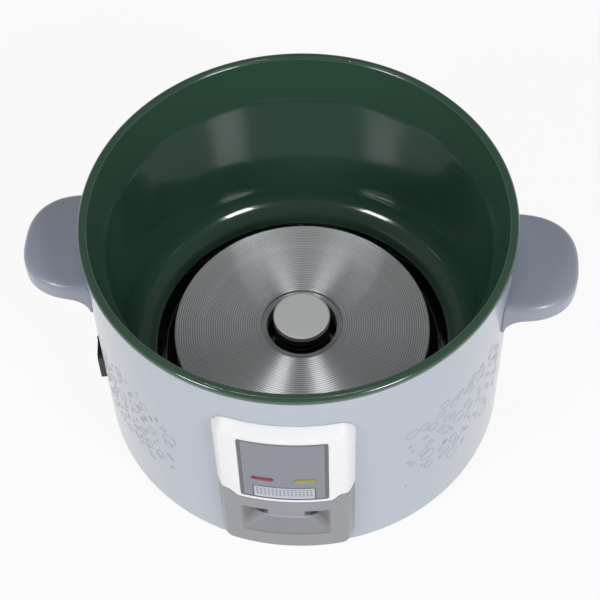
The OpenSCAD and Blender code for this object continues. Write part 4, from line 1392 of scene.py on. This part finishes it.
@dataclass(frozen=True)
class Coil:
    """Round wire wound into a spring whose end turns lie flat.

    Attributes:
        radius: Radius of the wire's middle line.
        wire_r: Radius of the wire.
        low: Height of the lower end.
        high: Height of the upper end.
        turns: Number of climbing turns.
        joint: Joint that shortens it; not used.
        travel: Travel of that joint at its limit; not used.
        held: Height of the end that moves with the spring's own body; not used.
        steps: Points along one turn.
        sides: Points round the wire.
    """

    radius: float
    wire_r: float
    low: float
    high: float
    turns: int
    joint: str
    travel: float
    held: float
    steps: int = 36
    sides: int = 12

    def piece(self, name: str) -> Piece:
        """Builds the wire.

        Formula: a circle swept along r (cos a, sin a), whose height rises by 1.1 wire
        thicknesses over the first and the last turn and evenly over those between.

        Args:
            name: Name of the piece.

        Returns:
            The piece.
        """
        all_turns = self.turns + 2
        done = np.linspace(0.0, all_turns, self.steps * all_turns + 1)[:, None]
        flat = 2.2 * self.wire_r
        rise = self.high - self.low - 2.0 * self.wire_r - 2.0 * flat
        height = (self.low + self.wire_r + flat * np.minimum(done, 1.0)
                  + rise * np.clip((done - 1.0) / self.turns, 0.0, 1.0)
                  + flat * np.maximum(done - self.turns - 1.0, 0.0))
        angle, round_wire = 2.0 * np.pi * done, -even_turn(self.sides)
        out = self.radius + self.wire_r * np.cos(round_wire)
        grid = np.stack([out * np.cos(angle), out * np.sin(angle),
                         height + self.wire_r * np.sin(round_wire)], -1)
        return make_shell(name, [(grid, False)], 50.0)

    def shorten(self, piece: Piece) -> None:
        """Gives the finished spring a mesh of its own.

        Args:
            piece: The wire.
        """
        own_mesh(piece)


@dataclass
class Thermostat(SubAssembly):
    """Spring-loaded centre sensor: blasted cap, spun ring and springs.

    Attributes:
        cap_r: Radius of the cap.
        cap_top: Height of its face.
        cap_low: Height of its edge.
        cap_t: Thickness of its face.
        cap_round: Radius of the edge of its face.
        waist: Points of the waist below that edge, in from the radius and down from the face.
        outer: Spring under the cap.
        inner: Spring over the magnet.
    """

    PLAIN = {"steel": ("thermostat_bracket", "magnet_carrier"), "spring_steel": ("sensor_sleeve",),
             "ferrite": ("ferrite_disc", "magnet")}

    cap_r: float = 17.9
    cap_top: float = 71.4
    cap_low: float = 67.6
    cap_t: float = 1.2
    cap_round: float = 0.7
    waist: Pairs = ((0.0, 1.5), (0.25, 1.8), (0.8, 2.0), (0.8, 2.4), (0.3, 2.6))
    outer: Coil = Coil(16.6, 0.7, 31.0, 66.4, 6, "sensor_press", 4.0, 66.4)
    inner: Coil = Coil(11.2, 0.5, 47.8, 63.2, 4, "magnet_slide", 5.3, 47.8)

    def add_pieces(self) -> None:
        """Adds the cap and the springs."""
        self.add(lathe("sensor_button", self.cap_profile(), 128, loop=False, crease=30.0),
                 "cap_alu", "cap_alu", Body.SENSOR, ("sensor_cap",))
        for coil, name, body, node in ((self.outer, "outer_coil", Body.SENSOR, "outer_spring"),
                                       (self.inner, "inner_coil", Body.MAGNET, "inner_spring")):
            coil.shorten(self.add(coil.piece(name), "spring_steel", "steel", body, (node,)))

    def cap_profile(self) -> Array:
        """Section of the cap from the axis over its face, a waist under its edge, and back.

        Returns:
            (r, z) rows.
        """
        r, top, low = self.cap_r, self.cap_top, self.cap_low
        return np.concatenate([
            [[LEAST, top], [r * 0.5, top], [r - 1.6, top]],
            arc(r - self.cap_round, top - self.cap_round, self.cap_round, 90.0, 0.0, 6),
            [[r - inset, top - down] for inset, down in self.waist],
            [[r - 0.1, low + 0.5], [r - 0.5, low], [r - 1.0, low],
             [r - 1.0, top - self.cap_t], [LEAST, top - self.cap_t]]])


# ------------------------------------------------------------------ front panel


@dataclass
class FrontPanel(SubAssembly):
    """Front panel: white frame round the indicator plate, and grey lower part with the scoop.

    Attributes:
        drum_r: Radius of the drum that the panel lies on.
        half: Half width on the drum, as arc length.
        low: Height of the lower edge.
        high: Height of the upper edge.
        bevel: Width of the soft bevel.
        corner: Corner radius.
        rim: Thickness at the outline.
        out: How far the face stands out.
        swell: Exponent of the bevel's curve.
        soft: Radius of the edges at seam, window and scoop.
        foot: How far the outline's foot is out from the drum.
        window: Half width on the drum, lower and upper edge of the window.
        window_round: Corner radius of the window.
        window_steps: How far the rows of its inner wall are out from the drum.
        seam: Points of the seam, from the middle outwards.
        seam_gap: Gap in the seam.
        scoop: Half width, lower and upper edge of the scoop's mouth.
        scoop_round: Corner radius of the mouth.
        throat: Corners (x, z) of the scoop's back.
        throat_y: Place of the back along Y.
        arm_half: Half width in the middle of the back that is left free for the arm.
        lining: Rows behind the back: how far they are beyond it, their Y, and their Y
            beside the arm.
        rays: Number of points round an opening.
        ray_rise: How far above the scoop's middle its rays start.
        rows: Rows crowded at an opening, rows between, and rows over the bevel.
    """

    PLAIN = {"dark_trim": ("window_trim",), "plate_grey": ("indicator_plate",),
             "zinc": ("panel_screws",), "board": ("lamp_board",),
             "glass_lamp": ("cook_lamp", "warm_lamp")}

    drum_r: float = DRUM_R
    half: float = 40.4
    low: float = 13.0
    high: float = 148.0
    bevel: float = 6.0
    corner: float = 9.0
    rim: float = 0.8
    out: float = FACE_R - DRUM_R
    swell: float = 1.5
    soft: float = 0.8
    foot: float = 0.1
    window: Point = (25.8 * DRUM_R / FACE_R, 76.0, 139.0)
    window_round: float = 2.0
    window_steps: Point = (0.1, 4.8, 6.1)
    seam: Pairs = ((26.3, 73.7), (30.7, 79.0), (40.4, 81.2), (60.0, 81.2))
    seam_gap: float = 0.06
    scoop: Point = (26.0, 33.6, 62.4)
    scoop_round: float = 1.6
    throat: Pairs = ((14.0, 43.6), (18.4, 46.6), (18.4, 62.4), (-18.4, 62.4), (-18.4, 46.6),
                     (-14.0, 43.6))
    throat_y: float = -124.6
    arm_half: float = 11.6
    lining: tuple[Point, ...] = ((1.6, -123.9, -123.9), (0.4, -123.9, -123.9),
                                 (0.4, -124.1, -119.8), (0.0, -124.1, -119.8))
    rays: int = 900
    ray_rise: float = 1.0
    rows: tuple[int, int, int] = (8, 14, 16)

    def add_pieces(self) -> None:
        """Adds both mouldings, the label and the two lenses."""
        self.add(self.frame_piece(), "white_plastic", "white_plastic", replaces=("panel_frame",))
        self.add(self.lower_piece(), "grey_plastic", "grey_plastic", replaces=("lower_panel",))
        self.add(PrintedLabel().piece(), "label_print", "plate_grey")
        for colour, sign, node in (("red", -1, "cook_lens"), ("yellow", 1, "warm_lens")):
            self.add(PilotLens().piece(f"{colour}_pilot_lens", sign), f"{colour}_lens",
                     f"{colour}_lens", replaces=(node,))

    def outline_distance(self, u: Array, z: Array) -> Array:
        """Signed distance to the panel's outline, negative inside."""
        return rect_distance(u, z - (self.low + self.high) / 2.0, self.half,
                             (self.high - self.low) / 2.0, self.corner)

    def seam_height(self, u: Array) -> Array:
        """Height of the seam at a distance from the middle, along straight lines."""
        xs, zs = zip((0.0, self.seam[0][1]), *self.seam)
        return np.interp(np.abs(u), xs, zs)

    def depth(self, u: Array, z: Array) -> Array:
        """How far the face stands out from the drum.

        Formula: rim + (out - rim) (1 - (1 - t) ** swell), with t the distance from the
        outline over the bevel, at most 1.

        Args:
            u: Arc lengths along the drum.
            z: Heights.

        Returns:
            The distances from the drum.
        """
        t = np.clip(-self.outline_distance(u, z) / self.bevel, 0.0, 1.0)
        return self.rim + (self.out - self.rim) * (1.0 - (1.0 - t) ** self.swell)

    def on_drum(self, flat: Array, out: Array | float) -> Array:
        """Points at (arc length, height) rows that are a distance out from the drum."""
        return round_z(self.drum_r + out, flat[..., 0] / self.drum_r, flat[..., 1])

    def eased(self, gap: Array) -> Array:
        """Drop of a round edge: soft - sqrt(soft ** 2 - (soft - gap) ** 2) within soft of it."""
        k = np.clip(self.soft - gap, 0.0, self.soft)
        return self.soft - np.sqrt(self.soft ** 2 - k ** 2)

    def ring(self, opening: Distance, past_seam: Distance, middle: float) -> tuple[Array, Array]:
        """Face of a moulding round an opening, as far as the seam and the outline.

        Formula: rays from the middle give a point on the opening and one on the outline.
        Each row between them is a fixed distance from one of them near the edges and a
        fixed share of the way elsewhere; it stands out by depth(u, z) less the drop of
        the round edges.

        Args:
            opening: Signed distance to the opening, positive on the moulding.
            past_seam: Distance from the seam, positive on the moulding.
            middle: Height that the rays start from.

        Returns:
            The opening's outline as (u, z) rows, and rows of points from the opening to
            the foot of the outline.
        """
        angles, centre = even_turn(self.rays), np.array([0.0, middle])
        crowded, between, bevelled = self.rows
        inner = centre + ray_outline(lambda u, z: opening(u, z + middle), angles, reach=90.0)
        outer = centre + ray_outline(
            lambda u, z: np.maximum(self.outline_distance(u, z + middle),
                                    -past_seam(u, z + middle)), angles, reach=120.0)
        span = np.linalg.norm(outer - inner, axis=-1)
        near = np.minimum(edge_steps(2.0 * self.soft, crowded)[:, None] / span, 0.3)
        far = np.maximum(1.0 - edge_steps(self.bevel * 1.3, bevelled)[::-1, None] / span, 0.45)
        way = np.linspace(0.0, 1.0, between + 2)[1:-1, None]
        share = np.concatenate([near, near[-1] + (far[0] - near[-1]) * way, far])[..., None]
        flat = inner + share * (outer - inner)
        u, z = np.moveaxis(flat, -1, 0)
        edge = np.minimum(np.maximum(opening(u, z), 0.0), np.maximum(past_seam(u, z), 0.0))
        face = self.on_drum(flat, self.depth(u, z) - self.eased(edge))
        return inner, np.concatenate([face, self.on_drum(outer, self.foot)[None]])

    def frame_piece(self) -> Piece:
        """White frame: a ring from the window's outline to the outline and the seam.

        Returns:
            The piece.
        """
        half_w, low, high = self.window
        middle, half_h = (low + high) / 2.0, (high - low) / 2.0
        inner, face = self.ring(
            lambda u, z: rect_distance(u, z - middle, half_w, half_h, self.window_round),
            lambda u, z: z - self.seam_height(u) - self.seam_gap, middle)
        wall = [self.on_drum(inner, out) for out in self.window_steps]
        return make_shell("white_frame", [(np.concatenate([np.stack(wall), face]), True)], 35.0)

    def lower_piece(self) -> Piece:
        """Grey lower part: a ring from the scoop's mouth to the outline and the seam, whose
        inner side runs on into the funnel of the scoop.

        Returns:
            The piece.
        """
        half_w, low, high = self.scoop
        half_u = math.asin(half_w / (self.drum_r + self.out)) * self.drum_r
        middle, half_h = (low + high) / 2.0, (high - low) / 2.0
        _, face = self.ring(
            lambda u, z: rect_distance(u, z - middle, half_u, half_h, self.scoop_round),
            lambda u, z: self.seam_height(u) - z, middle + self.ray_rise)
        grid = np.concatenate([self.funnel_rows(face[0], middle + self.ray_rise), face])
        return make_shell("grey_lower_panel", [(grid, True)], 35.0)

    def funnel_rows(self, mouth: Array, middle: float) -> Array:
        """Rows of the scoop, from behind its lining forward to its mouth.

        Formula: each point lies a share of the way from the back outline to the mouth,
        along straight lines, with a small round where they meet the mouth.

        Args:
            mouth: Row of points at the mouth.
            middle: Height that the rays start from.

        Returns:
            Rows that end just inside the mouth.
        """
        angles = np.arctan2(mouth[:, 2] - middle, mouth[:, 0])
        corners = np.array(self.throat)

        def row(grow: float, y: float, y_side: float) -> Array:
            """Points of the back's outline grown by a distance, at y or beside the arm."""
            def distance(x: Array, z: Array) -> Array:
                """Signed distance to the corners' outline: the largest of its sides."""
                sides = []
                for a, b in zip(corners, np.roll(corners, -1, 0)):
                    along = (b - a) / np.linalg.norm(b - a)
                    sides.append((x - a[0]) * along[1] - (z + middle - a[1]) * along[0] - grow)
                return np.maximum.reduce(sides)

            x, z = ray_outline(distance, angles, reach=60.0).T
            return np.stack([x, np.where(np.abs(x) > self.arm_half, y_side, y), z + middle], -1)

        back = row(0.0, self.throat_y, self.throat_y)
        shares = np.concatenate([np.linspace(0.0, 0.94, 14)[1:], [0.965, 0.985, 0.996]])
        slope = back + shares[:, None, None] * (mouth - back)
        return np.concatenate([np.stack([row(*line) for line in self.lining] + [back]), slope])


@dataclass(frozen=True)
class PrintedLabel:
    """Pale printed field on the indicator plate.

    Attributes:
        radius: Distance of its face from the axis.
        thick: Thickness, which sinks into the plate.
        half: Half width.
        low: Height of the lower edge.
        high: Height of the upper edge.
        corner: Radius of the upper corners.
    """

    radius: float = 132.46
    thick: float = 0.3
    half: float = 18.5
    low: float = 77.4
    high: float = 90.0
    corner: float = 1.6

    def piece(self) -> Piece:
        """Builds the field.

        Formula: a grid over arc length and height at a constant radius, whose upper
        corners are drawn in by a quarter circle; the back lies under the plate's face.

        Returns:
            The piece.
        """
        tall = self.high - self.low
        bend = self.corner / tall * (1.0 - np.sin(np.linspace(0.0, np.pi / 2, 7)[1:]))
        v = np.concatenate([np.linspace(0.0, 1.0 - self.corner / tall, 10), 1.0 - bend])
        z = self.low + v * tall
        k = np.clip((z - (self.high - self.corner)) / self.corner, 0.0, 1.0)
        width = self.half - self.corner * (1.0 - np.sqrt(1.0 - k ** 2))
        u = np.linspace(-1.0, 1.0, 41)[None, :] * width[:, None]
        z = np.broadcast_to(z[:, None], u.shape)
        front, back = (round_z(r, u / FACE_R, z).reshape(-1, 3)
                       for r in (self.radius, self.radius - self.thick))
        index, count = np.arange(u.size).reshape(u.shape), u.size
        quads = np.stack([index[:-1, :-1], index[:-1, 1:], index[1:, 1:], index[1:, :-1]],
                         -1).reshape(-1, 4)
        loop = np.concatenate([index[0, :-1], index[:-1, -1], index[-1, :0:-1], index[:0:-1, 0]])
        after = np.roll(loop, -1)
        side = np.stack([loop, loop + count, after + count, after], -1)
        uv = np.stack([(u / self.half + 1.0) / 2.0, (z - self.low) / tall], -1).reshape(-1, 2)
        return mesh_piece("label_field", np.concatenate([front, back]),
                          [quads, quads[:, ::-1] + count, side], uv=np.concatenate([uv, uv]))


@dataclass(frozen=True)
class PilotLens:
    """Pilot lens: a pill with a crowned face.

    Attributes:
        half: Half length and half height.
        back: Distance of its hidden end from the axis.
        base: Distance of the face's edge from the axis.
        proud: How far the crown stands out.
        off: Distance of its middle from the panel's middle line.
        height: Height of its middle.
        insets: How far the rows of the crown are drawn in, as shares of the half height.
    """

    half: tuple[float, float] = (6.5, 1.8)
    back: float = 127.0
    base: float = 132.45
    proud: float = 0.82
    off: float = 12.3
    height: float = 98.0
    insets: tuple[float, ...] = (0.06, 0.2, 0.4, 0.7, 0.97)

    def piece(self, name: str, sign: int) -> Piece:
        """Builds the lens.

        Formula: rows are the pill's outline drawn in towards its middle line by a share f
        of its half height, and stand out by proud sqrt(1 - (1 - f) ** 2).

        Args:
            name: Name of the piece.
            sign: -1 for the cooking lens, 1 for the warming lens.

        Returns:
            The piece.
        """
        half_l, half_h = self.half
        rows = []
        for inset, radius in [(0.0, self.back), (0.0, self.base)] + [
                (half_h * f, self.base + self.proud * math.sqrt(1.0 - (1.0 - f) ** 2))
                for f in self.insets]:
            x, z = round_rect_loop(half_l - inset, half_h - inset,
                                   max(half_h - inset - 0.001, 0.01), 72).T
            rows.append(round_z(radius, (sign * self.off + x) / FACE_R, self.height + z))
        return make_shell(name, [(np.stack(rows), False)], 30.0)


@dataclass
class CookLever(SubAssembly):
    """Cook lever: moulded tab on its sheet arm, with the switch that it works.

    Attributes:
        pad: Middle, half sizes and edge radius of the tab.
        block: The same of the block that holds the tab to the arm.
    """

    PLAIN = {"zinc": ("lever_arm", "switch_bracket", "bracket_screws"), "steel": ("lever_pin",),
             "black_plastic": ("micro_switch",), "plunger_red": ("switch_plunger",)}

    pad: tuple[Point, Point, float] = ((0.0, -127.25, 53.5), (11.3, 1.75, 5.0), 1.2)
    block: tuple[Point, Point, float] = ((0.0, -123.2, 54.5), (9.0, 2.6, 3.4), 0.5)

    def add_pieces(self) -> None:
        """Adds the tab."""
        grids = [(soft_block(*self.pad), False), (soft_block(*self.block), False)]
        self.add(make_shell("lever_pad", grids, 50.0), "tab_plastic", "grey_plastic",
                 Body.LEVER, ("lever_tab",))


# ------------------------------------------------------------------ handles


@dataclass
class Handle(SubAssembly):
    """Moulded side handle: soft top, skirt that flares to the drum, open underside with ribs.

    It is worked out with its tip towards -Y and then turned to its side.

    Attributes:
        drum_r: Radius of the drum.
        root: Gap between the handle and the drum.
        half: Half width.
        out: How far it stands out.
        top: Height of the top.
        low: Height of the skirt's lower edge.
        flare: How far the skirt falls towards the drum.
        crown: How far the top falls to its edge.
        edge: Radius of the top's edge.
        wall: Thickness of the moulding.
        bow: Exponent of the oval in plan, 1 for an ellipse.
        middle_y: Place of the rays' start along Y.
        corner_y: Place of the corner at the drum along Y.
        ceiling_round: Height of the bend from the ceiling into the inner wall.
        rib: Y and height of the middle, half sizes and edge radius of a rib.
        boss: Section of a screw boss: radii, and distances from the drum's axis.
        boss_z: Height of the bosses.
        rays: Number of even rays of the outline.
        ray_spread: Angle (rad) to both sides of a corner over which more rays are added.
        top_shares: Rows of the top, as shares of the way from its middle to its edge.
        skirt_shares: Rows of the skirt, as shares of the way down to its foot.
        foot_round: Height of the foot's round outer edge.
        ceiling_rows: Rows of the ceiling: shares of the way to the inner wall, and how far
            they are down the bend.
    """

    PLAIN = {"zinc": ("handle_screws",)}

    drum_r: float = DRUM_R
    root: float = 0.03
    half: float = 36.0
    out: float = 38.5
    top: float = 141.0
    low: float = 128.0
    flare: float = 12.0
    crown: float = 0.45
    edge: float = 4.5
    wall: float = 3.0
    bow: float = 0.79
    middle_y: float = -142.0
    corner_y: float = -121.6
    ceiling_round: float = 1.2
    rib: tuple[float, float, Point, float] = (-140.0, 134.8, (0.8, 11.5, 3.8), 0.2)
    boss: Pairs = ((3.6, 127.0), (4.2, 127.6), (4.2, 140.4), (3.6, 141.0))
    boss_z: float = 133.0
    rays: int = 220
    ray_spread: float = 0.05
    top_shares: tuple[float, ...] = (0.02, 0.15, 0.35, 0.6, 0.8, 0.92)
    skirt_shares: tuple[float, ...] = (0.2, 0.45, 0.7, 0.9, 1.0)
    foot_round: float = 0.5
    ceiling_rows: Pairs = ((1.0, 1.0), (0.97, 0.7), (0.9, 0.0), (0.5, 0.0), (0.02, 0.0))

    def add_pieces(self) -> None:
        """Adds both handles."""
        for side in Side:
            name = side.name.lower()
            grids = [(self.turned(grid, side), False)
                     for grid in (self.shell(), *self.inner_parts())]
            self.add(make_shell(f"{name}_grip", grids, 38.0), "handle_plastic",
                     "handle_plastic", replaces=(f"{name}_handle",))

    @staticmethod
    def turned(grid: Array, side: Side) -> Array:
        """A grid turned from -Y to its side of the drum."""
        x, y, z = np.moveaxis(grid, -1, 0)
        return np.stack([-side.value * y, side.value * x, z], -1)

    def plan(self, inset: float, root: float) -> Array:
        """Outline of the handle in plan, seen from its middle.

        Formula: the squared oval x = w |cos a| ** bow, y = -drum_r - l |sin a| ** bow,
        closed by a circle round the drum; each ray ends where the larger of the distances
        to both is zero.

        Args:
            inset: How far the oval is drawn in.
            root: Distance from the drum at which the handle ends.

        Returns:
            (x, y) rows.
        """
        w, length, power = self.half - inset, self.out - inset, 2.0 / self.bow

        def distance(x: Array, y: Array) -> Array:
            """Larger of the oval's value and the distance inside the circle."""
            y = y + self.middle_y
            reach = np.maximum(-y - self.drum_r, 0.0) / length
            oval = (np.abs(x) / w) ** power + reach ** power - 1.0
            return np.maximum(oval, self.drum_r + root - np.hypot(x, y))

        outline = ray_outline(distance, self.ray_angles(), reach=90.0)
        return outline + np.array([0.0, self.middle_y])

    def ray_angles(self) -> Array:
        """Ray angles that crowd towards the two corners at the drum.

        Returns:
            Angles in radians.
        """
        corner = math.atan2(self.corner_y - self.middle_y, self.half)
        extra = np.concatenate([centre + np.linspace(-self.ray_spread, self.ray_spread, 9)
                                for centre in (corner, np.pi - corner)])
        return np.sort(np.concatenate([even_turn(self.rays), extra % (2.0 * np.pi)]))

    def foot(self, flat: Array) -> Array:
        """Height of the skirt's lower edge.

        Formula: low beyond the flare, and the quarter circle that falls by the flare
        towards the drum inside it.

        Args:
            flat: (x, y) rows.

        Returns:
            The heights.
        """
        d = np.hypot(flat[:, 0], flat[:, 1]) - self.drum_r
        k = np.clip(self.flare + 1.5 - d, 0.0, self.flare)
        return self.low - self.flare + np.sqrt(np.maximum(self.flare ** 2 - k ** 2, 0.0))

    def shell(self) -> Array:
        """Rows of the outer and inner skin, from the middle of the top to that of the ceiling.

        Formula: rows of the top fall by crown share ** 2, its edge is a quarter circle of
        outlines, the skirt runs straight down to the foot, and the inner skin goes back
        up a wall's thickness further in.

        Returns:
            A grid of points.
        """
        def at(flat: Array, z: Array | float) -> Array:
            """Plan points at a height."""
            return np.column_stack([flat, np.broadcast_to(z, len(flat))])

        outline = self.plan(0.0, self.root)
        rim = self.plan(self.edge, self.root)
        inside = self.plan(self.wall, self.wall)
        middle = np.array([0.0, self.middle_y])
        rows = [at(middle + share * (rim - middle), self.top - self.crown * share ** 2.0)
                for share in self.top_shares]
        rows += [at(self.plan(self.edge * (1.0 - math.sin(a)), self.root),
                    self.top - self.crown - (self.edge - self.crown) * (1.0 - math.cos(a)))
                 for a in np.radians(np.linspace(0.0, 90.0, 10))]
        foot, skirt = self.foot(outline), self.top - self.edge
        rows += [at(outline, skirt + share * (foot + self.foot_round - skirt))
                 for share in self.skirt_shares]
        rows += [at(self.plan(0.15, self.root), foot + 0.15),
                 at(self.plan(self.foot_round, self.root), foot),
                 at(self.plan(self.wall - 0.4, self.wall - 0.4), self.foot(inside)),
                 at(inside, self.foot(inside) + 0.4)]
        ceiling = self.top - self.wall
        rows += [at(middle + share * (inside - middle), ceiling - fall * self.ceiling_round)
                 for share, fall in self.ceiling_rows]
        return np.stack(rows)

    def inner_parts(self) -> list[Array]:
        """Ribs and screw bosses inside the handle.

        Returns:
            Grids of points.
        """
        y, z, half, edge = self.rib
        tube = revolved(np.array(self.boss), 32)
        parts = []
        for x in (-self.half / 2.0, self.half / 2.0):
            parts += [soft_block((x, y, z), half, edge),
                      np.stack([tube[..., 0] + x, -tube[..., 2], tube[..., 1] + self.boss_z], -1)]
        return parts


@dataclass
class Mains(SubAssembly):
    """Mains inlet on the left side, and the terminal block inside."""

    PLAIN = {"black_plastic": ("inlet_socket",), "brass": ("inlet_pins",),
             "steel": ("inlet_screws",), "ceramic": ("terminal_block",)}


# ------------------------------------------------------------------ studio


@dataclass(frozen=True)
class Lamp:
    """Square soft lamp that faces the middle of the drum.

    Attributes:
        name: Name of the lamp.
        place: Its place in metres.
        size: Side of the square in metres.
        power: Power in watts.
        bounces: Most bounces its light is followed over; 0 leaves out its mirror images.
        aim: Point that it faces.
    """

    name: str
    place: Point
    size: float
    power: float
    bounces: int = 1024
    aim: Point = (0.0, 0.0, 0.1)

    def build(self) -> None:
        """Adds the lamp."""
        data = bpy.data.lights.new(self.name, "AREA")
        data.shape, data.size, data.energy = "SQUARE", self.size, self.power
        data.cycles.max_bounces = self.bounces
        data.cycles.use_multiple_importance_sampling = self.bounces > 0
        lamp = bpy.data.objects.new(self.name, data)
        lamp.location = self.place
        lamp.rotation_mode = "QUATERNION"
        lamp.rotation_quaternion = (Vector(self.aim) - Vector(self.place)).to_track_quat("-Z", "Y")
        bpy.context.scene.collection.objects.link(lamp)


@dataclass
class Studio:
    """Pale floor, soft lamps and the camera.

    Attributes:
        eye: Place of the camera in metres.
        turn: Bearing of the camera in degrees.
        dip: How far it looks down, in radians.
        roll: Roll in radians.
        lens: Focal length in millimetres.
        sensor: Width of the sensor in millimetres.
        floor_half: Half width of the floor.
        floor_z: Height of the floor.
        floor_tones: Darkest and palest grey of the floor.
        floor_glow: How far the floor is plain white to the camera.
        cove: Strength of the surroundings at the horizon.
        ceiling: Strength of the surroundings overhead.
        cove_low: Height of the unit direction at which the cove starts to dim.
        cove_high: Height of it at which the ceiling is reached.
        lamps: The lamps.
    """

    eye: Point = (0.060029, -0.576699, 0.910598)
    turn: float = 6.0074
    dip: float = 0.95659
    roll: float = -0.037846
    lens: float = 97.7635
    sensor: float = 36.0
    floor_half: float = 4000.0
    floor_z: float = -0.3
    floor_tones: tuple[float, float] = (0.94, 0.96)
    floor_glow: float = 0.9
    cove: float = 0.74
    ceiling: float = 0.17
    cove_low: float = 0.05
    cove_high: float = 0.5
    lamps: tuple[Lamp, ...] = (
        Lamp("key_left", (-1.10, -1.22, 1.25), 0.47, 12.8),
        Lamp("key_right", (1.10, -1.22, 1.25), 0.47, 16.4),
        Lamp("top_left", (-0.28, 0.57, 1.96), 0.14, 1.6, 0),
        Lamp("top_right", (0.09, 0.57, 1.98), 0.14, 1.6, 0))

    def build(self) -> None:
        """Builds the camera, floor, surroundings and lamps."""
        self.camera()
        self.floor()
        self.world()
        for lamp in self.lamps:
            lamp.build()

    def camera(self) -> None:
        """Places the camera: it looks at the drum's axis from the front, high up."""
        turn, dip = math.radians(self.turn), self.dip
        right = np.array([math.cos(turn), math.sin(turn), 0.0])
        ahead = np.array([-math.sin(turn) * math.cos(dip), math.cos(turn) * math.cos(dip),
                          -math.sin(dip)])
        up = np.cross(right, ahead)
        c, s = math.cos(self.roll), math.sin(self.roll)
        axes = np.stack([c * right + s * up, -s * right + c * up, -ahead], -1)
        data = bpy.data.cameras.new("camera")
        data.lens, data.sensor_width = self.lens, self.sensor
        data.clip_start, data.clip_end = 0.05, 30.0
        rig = bpy.data.objects.new("camera", data)
        rig.matrix_world = Matrix.Translation(Vector(self.eye)) @ Matrix(axes.tolist()).to_4x4()
        bpy.context.scene.collection.objects.link(rig)
        bpy.context.scene.camera = rig

    def floor(self) -> None:
        """Makes the floor, mostly white to the camera, with a faint shadow left on it."""
        half = self.floor_half
        points = np.array([[x, y, self.floor_z] for x, y in (
            (-half, -half), (half, -half), (half, half), (-half, half))])
        floor = mesh_piece("floor", points, [np.array([[0, 1, 2, 3]])])
        graph = Graph("floor_white")
        dark, pale = ((tone, tone, tone, 1.0) for tone in self.floor_tones)
        graph.set(Base_Color=graph.blend(graph.noise(graph.place(), 40.0, 2.0), dark, pale),
                  Roughness=0.8)
        glow = graph.node("ShaderNodeEmission", {"Color": (1.0, 1.0, 1.0, 1.0), "Strength": 1.0})
        path = graph.node("ShaderNodeLightPath")
        seen = graph.math("MAXIMUM", path.outputs["Is Camera Ray"],
                          graph.math("MAXIMUM", path.outputs["Is Glossy Ray"],
                                     path.outputs["Is Transmission Ray"]))
        mix = graph.node("ShaderNodeMixShader", {0: graph.product(seen, self.floor_glow),
                                                 1: graph.shader.outputs[0], 2: glow.outputs[0]})
        graph.feed(graph.tree.nodes["Material Output"].inputs["Surface"], mix.outputs[0])
        floor.data.materials.append(graph.material)

    def world(self) -> None:
        """Makes the surroundings of a white cove under a dim ceiling, the same to every ray.

        Formula: the strength falls smoothly from cove at the horizon to ceiling overhead,
        by the height of the unit direction looked in.
        """
        graph = SkyGraph("surroundings")
        height = graph.parts(graph.node("ShaderNodeTexCoord").outputs["Generated"])[2]
        graph.set(Color=(1.0, 1.0, 1.0, 1.0),
                  Strength=graph.rise(height, self.cove_low, self.cove_high, self.cove,
                                      self.ceiling, interpolation_type="SMOOTHSTEP"))
        bpy.context.scene.world = graph.world


def main() -> None:
    """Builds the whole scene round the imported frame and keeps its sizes."""
    logging.basicConfig(level=logging.INFO, format="%(message)s")
    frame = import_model()
    bpy.context.view_layer.update()
    bpy.context.scene.view_settings.view_transform = "Standard"
    finishes = Finishes()
    Studio().build()
    for kind in (Drum, Liner, HotPlate, Thermostat, FrontPanel, CookLever, Handle, Mains):
        LOG.info("sub-assembly %s", kind.__name__)
        kind(frame, finishes).build()
    bpy.context.view_layer.update()


if __name__ == "__main__":
    main()
